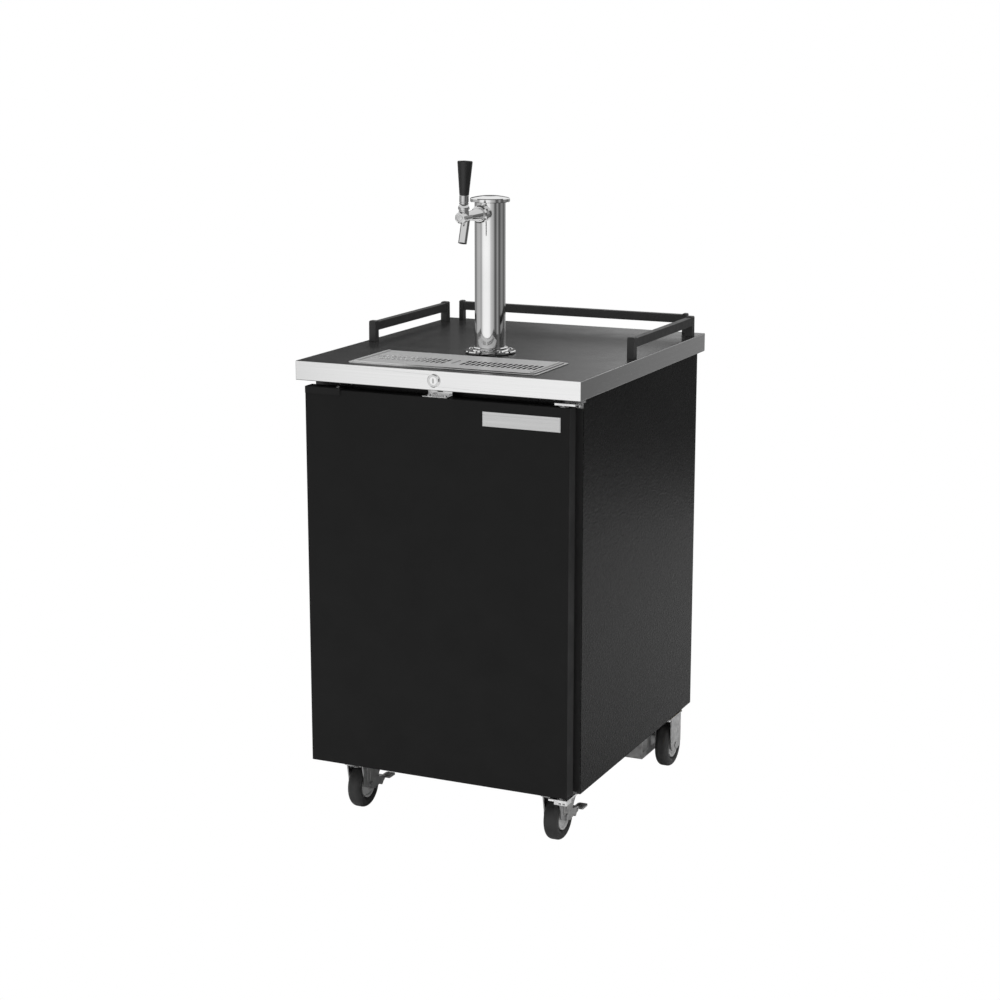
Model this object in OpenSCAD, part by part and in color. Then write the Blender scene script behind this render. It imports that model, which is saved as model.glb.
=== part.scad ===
// Draft beer dispenser: a one-door keg cooler on casters with a single-faucet tower.
// Millimetres. The origin is on the floor under the middle of the worktop:
// +X to the right, +Y to the back, +Z up. The door faces -Y.

/* [Worktop] */
// Width of the worktop
top_w = 610; // [600:1:640]
// Depth of the worktop
top_d = 696; // [690:1:730]
// Thickness of the worktop
top_t = 38; // [34:0.5:50]
// Height of the worktop's upper face above the floor
top_z = 951; // [930:1:1000]
// Thickness of the edge band
trim_t = 1.5; // [0.8:0.1:3]

/* [Cabinet] */
// Width of the cabinet
cab_w = 579; // [570:1:590]
// Setback of the cabinet's front behind the worktop's front edge
cab_setback = 53; // [50:0.5:58]
// Setback of the cabinet's back from the worktop's back edge
cab_back_set = 3; // [2:0.5:6]
// Underside of the foamed cabinet above the floor
cab_bottom = 120; // [119:1:125]
// Thickness of the insulated walls
wall = 45; // [40:1:50]
// Thickness of the outer sheet
skin = 1; // [0.6:0.1:1.5]
// Thickness of the inner liner
liner_t = 1; // [0.6:0.1:1.5]
// Thickness of the frame round the door opening
frame_t = 3; // [2:0.5:5]
// Thickness of the base plate
base_t = 3; // [2:0.5:4]
// Inset of the base plate from the cabinet's sides
base_inset = 8; // [6:0.5:10]
// How far the base plate reaches in front of the cabinet
base_toe = 13; // [12:1:18]
// Depth of the machine compartment at the lower back
mach_d = 175; // [170:1:185]
// Height of the machine compartment
mach_h = 278; // [270:1:320]

/* [Door] */
// Width of the door
door_w = 566; // [556:1:570]
// Gap between the door's top and the worktop
door_top_gap = 14; // [13:0.5:18]
// Height of the door's lower edge above the cabinet's underside
door_lift = 6; // [5:0.5:9]
// How far the door stands in front of the worktop's edge
door_proud = 2; // [1:0.5:3]
// Depth of the door's outer pan
pan_d = 32; // [30:0.5:34]
// Thickness of the door's sheet
pan_t = 1; // [0.6:0.1:1.5]
// Thickness of the door's inner liner sheet
door_liner_t = 2; // [1:0.5:3]
// Width of the raised rim on the door's liner
dike_w = 30; // [20:1:40]
// Height of the raised rim on the door's liner
dike_h = 34; // [24:1:38]
// Gap round the raised rim inside the door opening
dike_gap = 8.5; // [6:0.5:14]
// Width of the door gasket
gasket_w = 17; // [14:0.5:18]
// Length of the cap on the door's upper corner
cap_len = 80; // [60:1:110]
// How far the corner cap reaches down the door
cap_drop = 10; // [8:0.5:16]
// Wall of the corner cap
cap_t = 1.5; // [1:0.1:2]

/* [Hinges] */
// Distance of the hinge axis from the door's edge
hinge_inset = 17.5; // [16:0.5:19]
// Diameter of the hinge pins
pin_d = 8; // [6:0.5:9]
// Thickness of the hinge plates
hinge_t = 4; // [3:0.5:5]
// Outer diameter of the bushes in the door
bush_d = 14; // [12:0.5:16]
// Length of the bushes
bush_len = 20; // [16:1:26]

/* [Lock] */
// Diameter of the lock plug
plug_d = 16; // [14:0.5:18]
// Wall of the lock barrel
barrel_wall = 1.5; // [1.2:0.1:2.5]
// Diameter of the lock's front rim
bezel_d = 26; // [24:0.5:30]
// Height of the lock's front rim
bezel_t = 4; // [3:0.5:4]
// Length of the cam from the lock's axis
cam_len = 30; // [26:0.5:31]
// Width of the cam
cam_w = 14; // [10:0.5:16]
// Thickness of the cam
cam_t = 2.5; // [2:0.5:3]
// Distance of the cam behind the worktop's front edge
cam_set = 22.7; // [21:0.1:24]
// Width of the strike on the door
strike_w = 52; // [40:1:70]

/* [Tower] */
// Distance of the tower's axis from the worktop's front edge
tower_set = 257; // [250:1:290]
// Outer diameter of the column
tower_d = 62; // [60:0.5:76]
// Height of the column's top above the worktop
tower_h = 303; // [290:1:400]
// Wall of the column
tower_wall = 1.5; // [1:0.1:2.5]
// Diameter of the base flange
flange_d = 104; // [102:1:112]
// Thickness of the base flange
flange_t = 4; // [3:0.5:6]
// Number of lobes round the flange
flange_lobes = 10; // [6:2:14]
// Height of the collar round the column's foot
collar_h = 7; // [5:0.5:12]
// Thickness of the flange gasket
tower_gasket_t = 2; // [1:0.5:3]
// Diameter of the cap
tower_cap_d = 79.5; // [79:0.5:92]
// Height of the cap's rim
tower_cap_h = 8; // [6:0.5:12]
// Rise of the cap's crown
tower_cap_rise = 5; // [3:0.5:8]
// Diameter of the passage from the cabinet into the tower
passage_d = 50; // [44:1:54]

/* [Faucet] */
// Height of the faucet's axis below the column's top
faucet_drop = 21; // [20:0.5:30]
// Diameter of the shank
shank_d = 22; // [20:0.5:24]
// Diameter of the coupling nut
nut_d = 35; // [34:0.5:38]
// Distance of the faucet's handle axis from the tower's axis
handle_reach = 121; // [118:1:127]
// Diameter of the faucet's front barrel
barrel_d = 21; // [20:0.5:24]
// Outer diameter of the spout
spout_d = 17; // [16:0.5:19]
// Bore of the spout
spout_bore = 13; // [11:0.5:14]
// Depth of the spout's wide bore
spout_socket = 38; // [30:0.5:38]
// Length of the spout from the faucet's axis
spout_len = 53; // [48:1:70]
// Forward lean of the spout in degrees
spout_lean = 19; // [12:1:24]
// Diameter of the valve shaft's guides
guide_d = 10; // [9:0.5:10.5]
// Height of the lever's pivot above the faucet's axis
pivot_h = 17; // [16:0.5:18.5]
// Diameter of the lever's ball
ball_d = 13; // [12:0.5:13.5]
// Outer diameter of the bonnet
bonnet_d = 20; // [19.5:0.5:22]
// Diameter of the ball that the bonnet's crown is turned to
crown_d = 22; // [21.5:0.1:22.5]
// Backward lean of the closed lever in degrees
lever_lean = 4; // [0:0.5:6]
// Full pull of the lever in degrees
lever_pull = 28; // [20:1:28]
// Height of the ferrule's top above the pivot
ferrule_top = 25; // [24:0.5:30]
// Length of the handle
handle_len = 67; // [50:1:120]
// Diameter of the handle at its foot
handle_foot_d = 18.6; // [17:0.1:20]
// Diameter of the handle at its top
handle_top_d = 29.8; // [24:0.1:36]

/* [Drip tray] */
// Width of the tray's flange
tray_w = 404; // [380:1:440]
// Depth of the tray's flange
tray_d = 163; // [154:1:170]
// Distance of the tray's flange from the worktop's front edge
tray_set = 27; // [25:1:34]
// Depth of the basin
basin_h = 20; // [14:0.5:24]
// Width of the tray's flange border outside the basin
tray_border = 14; // [12:0.5:18]
// Thickness of the tray's sheet
tray_t = 1.2; // [0.8:0.1:2]
// Width of the slots in the grid
slot_w = 6.5; // [5:0.5:7]
// Length of the slots in the grid
slot_len = 24; // [16:0.5:26]
// Pitch of the slots in the grid
slot_pitch = 11; // [9.5:0.1:11.3]
// Slots in a group
slot_count = 15; // [10:1:15]
// Outer diameter of the drain's hose nipple
drain_d = 12; // [10:0.5:16]
// Length of the drain's hose nipple
nipple_len = 18; // [12:1:26]
// Bore of the drain
drain_bore = 9; // [7:0.5:9]

/* [Guard rails] */
// Thickness of the rails' bars
rail_s = 14; // [11:0.5:14]
// Height of the rails' bars
rail_bar = 18; // [15:0.5:20]
// Width of a rail post at its top
post_top = 15; // [14.5:0.5:18]
// Width of a rail post at its foot
post_foot = 15.5; // [15:0.5:20]
// Length of the back rail's posts along that rail
back_post = 10; // [8:0.5:16]
// Height of the rails' posts above the worktop
rail_h = 43; // [36:0.5:70]
// Distance of the rails from the worktop's edge
rail_edge = 8; // [5:0.5:10]
// Length of the side rails
rail_len = 356; // [300:1:362]
// Distance of the side rails' back end from the worktop's back edge
rail_back_set = 46; // [42:1:50]
// Length of the back rail
rail_back_len = 540; // [480:1:550]

/* [Casters] */
// Diameter of the wheels
wheel_d = 96; // [94:1:98]
// Width of the tyres
tread_w = 30; // [28:0.5:32]
// Diameter of the wheels' hubs
hub_d = 54; // [50:0.5:58]
// Diameter of the wheels' axles
axle_d = 8; // [7:0.5:9]
// Distance of the front kingpins from the middle
king_x = 221.5; // [200:0.5:225]
// Distance of the front kingpins behind the worktop's front edge
king_set = 72; // [72:0.5:78]
// Trail of the swivelling wheels behind their kingpins
trail = 30; // [28:0.5:32]
// Yaw of the front casters in degrees
caster_yaw = 0; // [-20:1:20]
// Distance of the rear wheels from the middle
rear_x = 270; // [266:0.5:271]
// Distance of the rear wheels from the worktop's back edge
rear_set = 92; // [90:1:110]
// Thickness of the fork legs
leg_t = 2.5; // [2:0.5:3]
// Diameter of the kingpins
king_d = 12; // [10:0.5:14]
// Length of the brake pedals
pedal_len = 45; // [42:1:50]

/* [Refrigeration] */
// Half width of the condensing unit's tray
pan_half = 240; // [236:0.5:241]
// Height of the condensing unit's tray above the floor
pan_z = 32; // [28:1:40]
// Diameter of the compressor
comp_d = 136; // [120:1:140]
// Height of the compressor
comp_h = 170; // [140:1:180]
// Diameter of the condenser fan
cfan_d = 160; // [140:1:170]
// Diameter of the evaporator fan
efan_d = 70; // [60:1:72]
// Width of the evaporator cover
evap_w = 310; // [290:1:340]
// Height of the evaporator cover
evap_h = 78; // [76:1:90]
// Depth of the evaporator cover
evap_d = 146; // [140:1:150]

/* [Clearances] */
// Radial clearance of turning shafts in their holes
run = 0.06; // [0.03:0.01:0.08]
// Gap between fixed pieces that seat on each other
seat = 0.1; // [0.05:0.05:0.2]
// Gap between pieces that move past each other
pass = 0.4; // [0.3:0.1:0.6]

/* [Hidden] */
$fn = 64;
// A cut runs this far past the face it opens
over = 1;

// Levels and planes shared by the assembly
top_under = top_z - top_t;
top_front = -top_d / 2;
top_back = top_d / 2;
cab_front = top_front + cab_setback;
cab_rear = top_back - cab_back_set;
cab_top = top_under;
base_z = cab_bottom - base_t;

// Keg compartment and machine compartment
in_w = cab_w - 2 * wall;
in_floor = cab_bottom + wall;
in_ceil = cab_top - wall;
in_back = cab_rear - wall;
mach_front = cab_rear - mach_d;
mach_top = cab_bottom + mach_h;
mach_w = cab_w - 2 * wall;
step_y = mach_front - wall;
step_z = mach_top + wall;

// Door planes and hinge axis
door_front = top_front - door_proud;
door_rear = door_front + pan_d;
door_z0 = cab_bottom + door_lift;
door_z1 = top_under - door_top_gap;
hinge_x = door_w / 2 - hinge_inset;
hinge_y = door_front + pan_d / 2;
gasket_in = in_w / 2 + 0.5;
gasket_out = gasket_in + gasket_w;
gasket_z0 = in_floor - gasket_w;
gasket_z1 = in_ceil + gasket_w;
liner_face = door_rear + door_liner_t;

// Hinge brackets
shoulder_h = 2.7;
bush_lip = 1;
hinge_plate_w = 42;
hinge_front = door_front + 2;
hinge_flange_t = 2.5;
hinge_lip_h = 6;
hinge_lip_reach = 22;
seat_gap = 0.3;
hinge_low_w = 39;
hinge_low_rise = 3;
top_plate_z = door_z1 + bush_lip + pass + shoulder_h;
low_plate_z = door_z0 - bush_lip - pass - shoulder_h;

// Lock
lock_z = top_z - top_t / 2;
barrel_r = plug_d / 2 + run + barrel_wall;
cam_y = top_front + cam_set;
strike_t = 2;
strike_base_t = 1.5;

// Tower and faucet
tower_y = top_front + tower_set;
tower_r = tower_d / 2;
tower_top = top_z + tower_h;
flange_z = top_z + tower_gasket_t;
screw_pcd = flange_d - 20;
screw_d = 5;
faucet_z = tower_top - faucet_drop;
nut_start = tower_r + 7.3;
body_start = nut_start + 12.7;
body_neck = body_start + 53;
barrel_end = handle_reach + 13;
front_cap_end = barrel_end + 4.5;
seat_s = body_start + 15;
socket_r = ball_d / 2 + pass - 0.1;
stem_r = 3;
tip_r = 2.4;
neck_r = 1.8;
tip_play = 0.45;
boss_top = pivot_h - 3.5;
bonnet_low = barrel_d / 2 + 0.6;
lean_front = lever_pull - lever_lean;
tip_rest = pivot_h * sin(lever_lean);
trunnion_r = 1.8;
throat_d = 8;
ferrule_r = 9.25;
ferrule_low = 8;

// Drip tray
tray_y = top_front + tray_set + tray_d / 2;
basin_w = tray_w - 2 * tray_border;
basin_d = tray_d - 2 * tray_border;
drain_x = -basin_w / 2 + 40;
drain_tube_d = drain_d + 3;
drain_shoulder = in_ceil - 4;
drain_end = drain_shoulder - nipple_len;
grid_gap = 0.3;
grid_z = top_z + tray_t + grid_gap;
grid_t = 1.5;
grid_margin = 7;
grid_lip = 6;
slot_row_gap = 2.5;
slot_mid_gap = 36;
slot_shift = -10;

// Casters
wheel_r = wheel_d / 2;
king_y = top_front + king_set;
rear_y = top_back - rear_set;
leg_in = tread_w / 2 + 1.5;
plate_w = 84;
plate_l = 64;
plate_t = 3;
plate_z = base_z - plate_t;
crown_t = 4;
crown_z = plate_z - 13;
race_d = 54;
crown_back = 70;
pedal_y = trail + wheel_r + 7;
pedal_z = wheel_r - 2.5;
pedal_tube_r = 4.2;
pedal_pin_r = 2.5;

// Refrigeration
sheet = 1.5;
pan_front = mach_front + 8;
pan_back = cab_rear - 3;
pan_floor = pan_z + sheet;
pan_lip = 14;
post_set = 34;
post_w = 20;
cond_margin = 20;
motor_near = 34;
motor_far = 50;
coil_set = 50;
cfan_hub_r = 20;
cfan_hub_l = 18;
comp_x = 110;
comp_y = (pan_front + pan_back) / 2;
cfan_x = -100;
cfan_z = pan_floor + cfan_d / 2 + 36;
cond_back = pan_back - 8;
cond_front = cond_back - 38;
cfan_y = cond_front - 22;
evap_front = in_back - 4 - evap_d;
evap_z = in_ceil - evap_h;
efan_x = -evap_w / 2 + 85;
efan_z = in_ceil - evap_h / 2;
knob_x = evap_w / 2 - 45;
gland_x = 200;
gland_z = cab_bottom + 33;
gland_end = top_back + bezel_t;
grille_t = 1.5;
grille_lap = 12;

// Box between two opposite corners
module block(lo, hi) {
    translate(lo) cube(hi - lo);
}

// Rectangle with round corners, centred
module round_rect(w, h, r) {
    square([w - 2 * r, h], center = true);
    square([w, h - 2 * r], center = true);
    for (sx = [-1, 1], sy = [-1, 1])
        translate([sx * (w / 2 - r), sy * (h / 2 - r)]) circle(r);
}

// Cylinder along +X
module rod_x(r, x0, x1) {
    translate([x0, 0, 0]) rotate([0, 90, 0]) cylinder(r = r, h = x1 - x0);
}

// Cylinder along +Y
module rod_y(r, y0, y1) {
    translate([0, y1, 0]) rotate([90, 0, 0]) cylinder(r = r, h = y1 - y0);
}

// Flat plate drawn in the YZ plane and thickened along X
module plate_yz(x0, x1) {
    translate([x0, 0, 0]) rotate([90, 0, 90]) linear_extrude(x1 - x0) children();
}

// Keg compartment with its step over the machine compartment, grown by g on every wall
module cavity(g) {
    x = in_w / 2 + g;
    plate_yz(-x, x)
        polygon([
            [cab_front - over, in_floor - g], [step_y + g, in_floor - g],
            [step_y + g, step_z - g], [in_back + g, step_z - g],
            [in_back + g, in_ceil + g], [cab_front - over, in_ceil + g]
        ]);
}

// Passages through the ceiling for the beer line and the drain
module ceiling_holes() {
    translate([0, tower_y, in_ceil - wall]) cylinder(d = passage_d, h = 3 * wall);
    translate([drain_x, tray_y, in_ceil - wall]) cylinder(d = drain_tube_d + 1, h = 3 * wall);
}

// Cabinet

// Side and back sheet of the cabinet with the folded lining of the machine compartment
module outer_case() {
    x = cab_w / 2;
    color("#202022")
    difference() {
        block([-x, cab_front, cab_bottom], [x, cab_rear, cab_top]);
        block([-x + skin, cab_front - over, cab_bottom - over],
              [x - skin, cab_rear - skin, cab_top + over]);
        block([-mach_w / 2, cab_rear - skin - over, cab_bottom - over],
              [mach_w / 2, cab_rear + over, mach_top]);
    }
    color("#202022")
    difference() {
        block([-mach_w / 2, mach_front, cab_bottom], [mach_w / 2, cab_rear, mach_top]);
        block([-mach_w / 2 + skin, mach_front + skin, cab_bottom - over],
              [mach_w / 2 - skin, cab_rear + over, mach_top - skin]);
    }
}

// Foamed-in insulation between the outer sheet and the liner
module foam_insulation() {
    x = cab_w / 2 - skin;
    color("#e8d9a0")
    difference() {
        block([-x, cab_front + frame_t, cab_bottom], [x, cab_rear - skin, cab_top]);
        cavity(liner_t);
        block([-mach_w / 2, mach_front, cab_bottom - over], [mach_w / 2, cab_rear + over, mach_top]);
        ceiling_holes();
    }
}

// Stepped inner liner that holds the keg
module inner_liner() {
    color("#c4c7c9")
    difference() {
        intersection() {
            cavity(liner_t);
            block([-cab_w, cab_front + frame_t, 0], [cab_w, cab_rear, top_z]);
        }
        cavity(0);
        ceiling_holes();
    }
}

// Thermal frame round the door opening
module breaker_frame() {
    x = cab_w / 2 - skin;
    color("#161617")
    difference() {
        block([-x, cab_front, cab_bottom], [x, cab_front + frame_t, cab_top]);
        block([-in_w / 2, cab_front - over, in_floor], [in_w / 2, cab_front + frame_t + over, in_ceil]);
    }
}

// Base plate that carries the casters and the condensing unit
module base_plate() {
    color("#8e9194")
    difference() {
        block([-cab_w / 2 + base_inset, cab_front - base_toe, base_z],
              [cab_w / 2 - base_inset, cab_rear, cab_bottom]);
        block([-pan_half + 8, pan_front + 6, base_z - over],
              [pan_half - 8, pan_back - 6, cab_bottom + over]);
        block([hinge_x - hinge_lip_reach - seat_gap, cab_front - base_toe - over, base_z - over],
              [cab_w / 2, cab_front + seat_gap, cab_bottom + over]);
    }
}

// Worktop

// Bore for the lock and the pocket in which its cam turns
module lock_cuts() {
    translate([0, 0, lock_z]) rod_y(barrel_r + seat, top_front - over, cam_y + cam_t + pass);
    block([-cam_w / 2 - 3, cam_y - 3, top_under - over],
          [cam_len + 4, cam_y + cam_t + 3, lock_z + cam_w / 2 + 3]);
}

// Pilot holes for the tower's screws
module screw_holes(d, z0, z1) {
    for (i = [0 : flange_lobes / 2 - 1])
        translate([0, tower_y, z0]) rotate(screw_angle(i)) translate([screw_pcd / 2, 0, 0])
            cylinder(d = d, h = z1 - z0);
}

// Every second lobe of the flange carries a screw
function lobe_angle(i) = 92 + 360 / flange_lobes * i;
function screw_angle(i) = lobe_angle(2 * i) + 180 / flange_lobes;

// Laminated top panel
module worktop_panel() {
    x = top_w / 2 - trim_t;
    y = top_d / 2 - trim_t;
    color("#2f2f31")
    difference() {
        block([-x, -y, top_under], [x, y, top_z]);
        translate([0, tray_y, top_z - basin_h - over])
            linear_extrude(basin_h + 2 * over) round_rect(basin_w + 2, basin_d + 2, 11);
        ceiling_holes();
        lock_cuts();
        screw_holes(screw_d + 2 * seat, top_z - 19, top_z + over);
    }
}

// Stainless band round the worktop's edges
module worktop_trim() {
    color("#d5d7d9")
    difference() {
        block([-top_w / 2, -top_d / 2, top_under], [top_w / 2, top_d / 2, top_z]);
        block([-top_w / 2 + trim_t, -top_d / 2 + trim_t, top_under - over],
              [top_w / 2 - trim_t, top_d / 2 - trim_t, top_z + over]);
        translate([0, 0, lock_z]) rod_y(barrel_r + seat, top_front - over, top_front + trim_t + over);
    }
}

// Guard rails

// Side of a rail post: a slight taper and a bevelled top
function post_side(foot, crown = 1.5) = let(top = foot - (post_foot - post_top) / 2) [
    [-foot, 0], [foot, 0], [top, rail_h - crown], [top - crown, rail_h],
    [crown - top, rail_h], [-top, rail_h - crown]
];

// Rail post standing on the origin, along X as long as given
module rail_post(along) {
    foot = post_foot / 2;
    intersection() {
        plate_yz(-along / 2, along / 2) polygon(post_side(foot));
        translate([0, foot, 0]) rotate([90, 0, 0])
            linear_extrude(2 * foot) polygon(post_side(along / 2));
    }
}

// Rail along +X: a flat-sided bar between two posts, standing on z = 0, its posts' front on y = 0
module guard_rail(length, along) {
    drop = 2.8;
    mid = post_foot / 2;
    for (x = [along / 2, length - along / 2]) translate([x, mid, 0]) rail_post(along);
    block([along / 2, mid - rail_s / 2, rail_h - drop - rail_bar],
          [length - along / 2, mid + rail_s / 2, rail_h - drop]);
}

module rail_left() {
    color("#1a1a1b")
    translate([-top_w / 2 + rail_edge + post_foot, top_back - rail_back_set - rail_len, top_z])
        rotate(90) guard_rail(rail_len, post_foot);
}

module rail_right() {
    color("#1a1a1b")
    translate([top_w / 2 - rail_edge, top_back - rail_back_set - rail_len, top_z])
        rotate(90) guard_rail(rail_len, post_foot);
}

module rail_back() {
    color("#1a1a1b")
    translate([-rail_back_len / 2, top_back - rail_edge - post_foot, top_z])
        guard_rail(rail_back_len, back_post);
}

// Drip tray

// Pressed tray with its drain tube and hose nipple
module drip_tray() {
    color("#b9bcbe")
    difference() {
        union() {
            translate([0, tray_y, top_z]) linear_extrude(tray_t) round_rect(tray_w, tray_d, 6);
            translate([0, tray_y, top_z - basin_h])
                linear_extrude(basin_h + tray_t) round_rect(basin_w, basin_d, 10);
            translate([drain_x, tray_y, drain_shoulder])
                cylinder(d = drain_tube_d, h = top_z - basin_h + tray_t - drain_shoulder);
            translate([drain_x, tray_y, drain_end]) cylinder(d = drain_d, h = nipple_len + over);
        }
        translate([0, tray_y, top_z - basin_h + tray_t])
            linear_extrude(basin_h + over)
                round_rect(basin_w - 2 * tray_t, basin_d - 2 * tray_t, 10 - tray_t);
        translate([drain_x, tray_y, drain_end - over]) cylinder(d = drain_bore, h = top_z - drain_end);
    }
}

// Slot with round ends, along Y
module grid_slot() {
    translate([0, 0, -over]) linear_extrude(grid_t + 2 * over)
        round_rect(slot_w, slot_len, slot_w / 2 - 0.01);
}

// Lift-off grid with two groups of slots, a raised rib at each end and one between the groups
module drip_grid() {
    w = tray_w - 2 * grid_margin;
    d = tray_d - 2 * grid_margin;
    lip_w = basin_w - 2 * tray_t - 2;
    lip_d = basin_d - 2 * tray_t - 2;
    rib_h = 2;
    color("#a9acae")
    difference() {
        union() {
            translate([0, tray_y, grid_z]) linear_extrude(grid_t) round_rect(w, d, 5);
            translate([0, tray_y, grid_z - grid_lip])
                linear_extrude(grid_lip + grid_t / 2) round_rect(lip_w, lip_d, 8);
            for (sx = [-1, 1])
                translate([sx * (w / 2 - 9), tray_y, grid_z])
                    linear_extrude(grid_t + rib_h) round_rect(6, d - 12, 2.5);
            translate([0, tray_y + slot_shift, grid_z])
                linear_extrude(grid_t + rib_h) round_rect(3.2, 2 * slot_len - 8, 1.5);
        }
        translate([0, tray_y, grid_z - grid_lip - over])
            linear_extrude(grid_lip + over) round_rect(lip_w - 3, lip_d - 3, 6.5);
        for (side = [-1, 1], row = [-1, 1], i = [0 : slot_count - 1])
            translate([
                side * (slot_mid_gap / 2 + slot_w / 2 + i * slot_pitch),
                tray_y + slot_shift + row * (slot_len + slot_row_gap) / 2,
                grid_z
            ]) grid_slot();
    }
}

// Tower

module tower_gasket() {
    color("#101011")
    difference() {
        translate([0, tower_y, top_z]) cylinder(d = flange_d - 4, h = tower_gasket_t);
        translate([0, tower_y, top_z - over]) cylinder(d = passage_d, h = tower_gasket_t + 2 * over);
        screw_holes(screw_d + 2 * seat, top_z - over, flange_z + over);
    }
}

// Lobed base flange with a collar round the column's foot
module tower_flange() {
    edge = 1.5;
    collar_r = tower_r + 4.5;
    notch_w = 5;
    color("#d9dbdd")
    difference() {
        translate([0, tower_y, flange_z]) rotate_extrude() polygon([
            [tower_r + seat, 0], [flange_d / 2, 0], [flange_d / 2, flange_t - edge],
            [flange_d / 2 - edge, flange_t], [collar_r + edge, flange_t], [collar_r, flange_t + edge],
            [collar_r, flange_t + collar_h - edge], [collar_r - edge, flange_t + collar_h],
            [tower_r + seat, flange_t + collar_h]
        ]);
        for (i = [0 : flange_lobes - 1])
            translate([0, tower_y, flange_z - over]) rotate(lobe_angle(i))
                linear_extrude(flange_t + 2 * over) {
                    translate([collar_r + 6, 0]) circle(d = notch_w);
                    translate([collar_r + 6, -notch_w / 2]) square([flange_d, notch_w]);
                }
        screw_holes(screw_d + 2 * seat, flange_z - over, flange_z + flange_t + over);
    }
}

// Dome-headed screws through the flange into the worktop
module tower_screws() {
    head_r = 4.6;
    head_h = 2.6;
    color("#c9cbcd")
    for (i = [0 : flange_lobes / 2 - 1])
        translate([0, tower_y, flange_z + flange_t])
        rotate(screw_angle(i)) translate([screw_pcd / 2, 0, 0]) {
            translate([0, 0, -18 - flange_t - tower_gasket_t])
                cylinder(d = screw_d, h = 18.5 + flange_t + tower_gasket_t);
            intersection() {
                cylinder(r = head_r, h = head_h);
                translate([0, 0, -2.8]) sphere(r = 5.4);
            }
        }
}

// Polished column with the hole for the shank
module tower_column() {
    color("#e3e5e7")
    difference() {
        translate([0, tower_y, flange_z]) cylinder(r = tower_r, h = tower_top - flange_z);
        translate([0, tower_y, flange_z - over])
            cylinder(r = tower_r - tower_wall, h = tower_top - flange_z + 2 * over);
        translate([0, 0, faucet_z]) rod_y(shank_d / 2 + seat, tower_y - tower_r - over, tower_y);
    }
}

// Domed cap with a skirt that plugs into the column
module tower_cap() {
    rim_r = tower_cap_d / 2;
    crown_r = rim_r - 1.5;
    dome_r = (crown_r * crown_r + tower_cap_rise * tower_cap_rise) / (2 * tower_cap_rise);
    skirt_r = tower_r - tower_wall - seat;
    skirt_h = 7;
    color("#e3e5e7")
    translate([0, tower_y, tower_top]) {
        rotate_extrude() polygon([
            [0, 0], [rim_r - 1, 0], [rim_r, 1], [rim_r, tower_cap_h - 1.5],
            [crown_r, tower_cap_h], [0, tower_cap_h]
        ]);
        intersection() {
            translate([0, 0, tower_cap_h + tower_cap_rise - dome_r]) sphere(r = dome_r, $fn = 128);
            translate([0, 0, tower_cap_h / 2]) cylinder(r = crown_r, h = tower_cap_h);
        }
        difference() {
            translate([0, 0, -skirt_h]) cylinder(r = skirt_r, h = skirt_h + 0.5);
            translate([0, 0, -skirt_h - over]) cylinder(r = skirt_r - 2, h = skirt_h + over);
        }
    }
}

// Faucet: s is the distance in front of the tower's axis

// Frame of the faucet, with its axis along +Z of the children and +Z up along their +Y
module faucet_turned() {
    translate([0, tower_y, faucet_z]) rotate([90, 0, 0]) children();
}

// Cylinder on the faucet's axis between two distances
module faucet_rod(r, s0, s1) {
    translate([0, tower_y, faucet_z]) rod_y(r, -s1, -s0);
}

// Threaded shank with a saddle flange on the column
module faucet_shank() {
    saddle_r = nut_d / 2 - 1;
    color("#d4d6d8")
    difference() {
        union() {
            faucet_rod(shank_d / 2, -14, body_start - 0.5);
            difference() {
                faucet_rod(saddle_r, tower_r - 6, nut_start - 0.3);
                translate([0, tower_y, faucet_z - nut_d]) cylinder(r = tower_r + seat, h = 2 * nut_d);
            }
        }
        faucet_rod(3.5, -15, body_start + over);
    }
}

// Coupling nut outside the tower and lock nut inside it
module shank_nuts() {
    nut_r = nut_d / 2;
    lock_r = 14.5;
    lock_front = sqrt(pow(tower_r - tower_wall, 2) - lock_r * lock_r) - seat;
    color("#dcdee0") {
        difference() {
            faucet_turned() rotate_extrude() polygon([
                [shank_d / 2 + seat, nut_start], [nut_r - 1.5, nut_start], [nut_r, nut_start + 1.5],
                [nut_r, nut_start + 13], [nut_r - 2.5, nut_start + 16], [13.2, nut_start + 16],
                [13.2, body_start + 3.1], [14.6, body_start + 3.1], [14.6, body_start - 0.4],
                [shank_d / 2 + seat, body_start - 0.4]
            ]);
            for (a = [0 : 60 : 300])
                faucet_turned() rotate(a + 30) translate([nut_r, 0, nut_start + 7]) rotate([0, 90, 0])
                    cylinder(d = 5, h = 5, center = true);
        }
        difference() {
            faucet_rod(lock_r, lock_front - 8, lock_front);
            faucet_rod(shank_d / 2 + seat, 0, tower_r);
        }
    }
}

// Elbow behind the shank with the nipple that takes the beer line
module beer_elbow() {
    elbow_s = -20;
    nipple_r = 3.6;
    nipple_end = 50;
    color("#c8cacc")
    difference() {
        union() {
            faucet_rod(8, elbow_s, -14 - seat);
            translate([0, tower_y - elbow_s, faucet_z]) {
                sphere(r = 8);
                translate([0, 0, -22]) cylinder(r = 6.5, h = 22);
                translate([0, 0, -nipple_end]) cylinder(r = nipple_r, h = nipple_end - 21);
            }
        }
        faucet_rod(2.4, elbow_s, -13);
        faucet_rod(9, -14 - seat, -6);
        translate([0, tower_y - elbow_s, faucet_z - nipple_end - over])
            cylinder(r = 2.4, h = nipple_end + over);
    }
}

// Spout axis: origin on the faucet's axis, children's -Z runs down the spout
module at_spout() {
    translate([0, tower_y - handle_reach + 10.5, faucet_z]) rotate([-spout_lean, 0, 0]) children();
}

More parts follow.
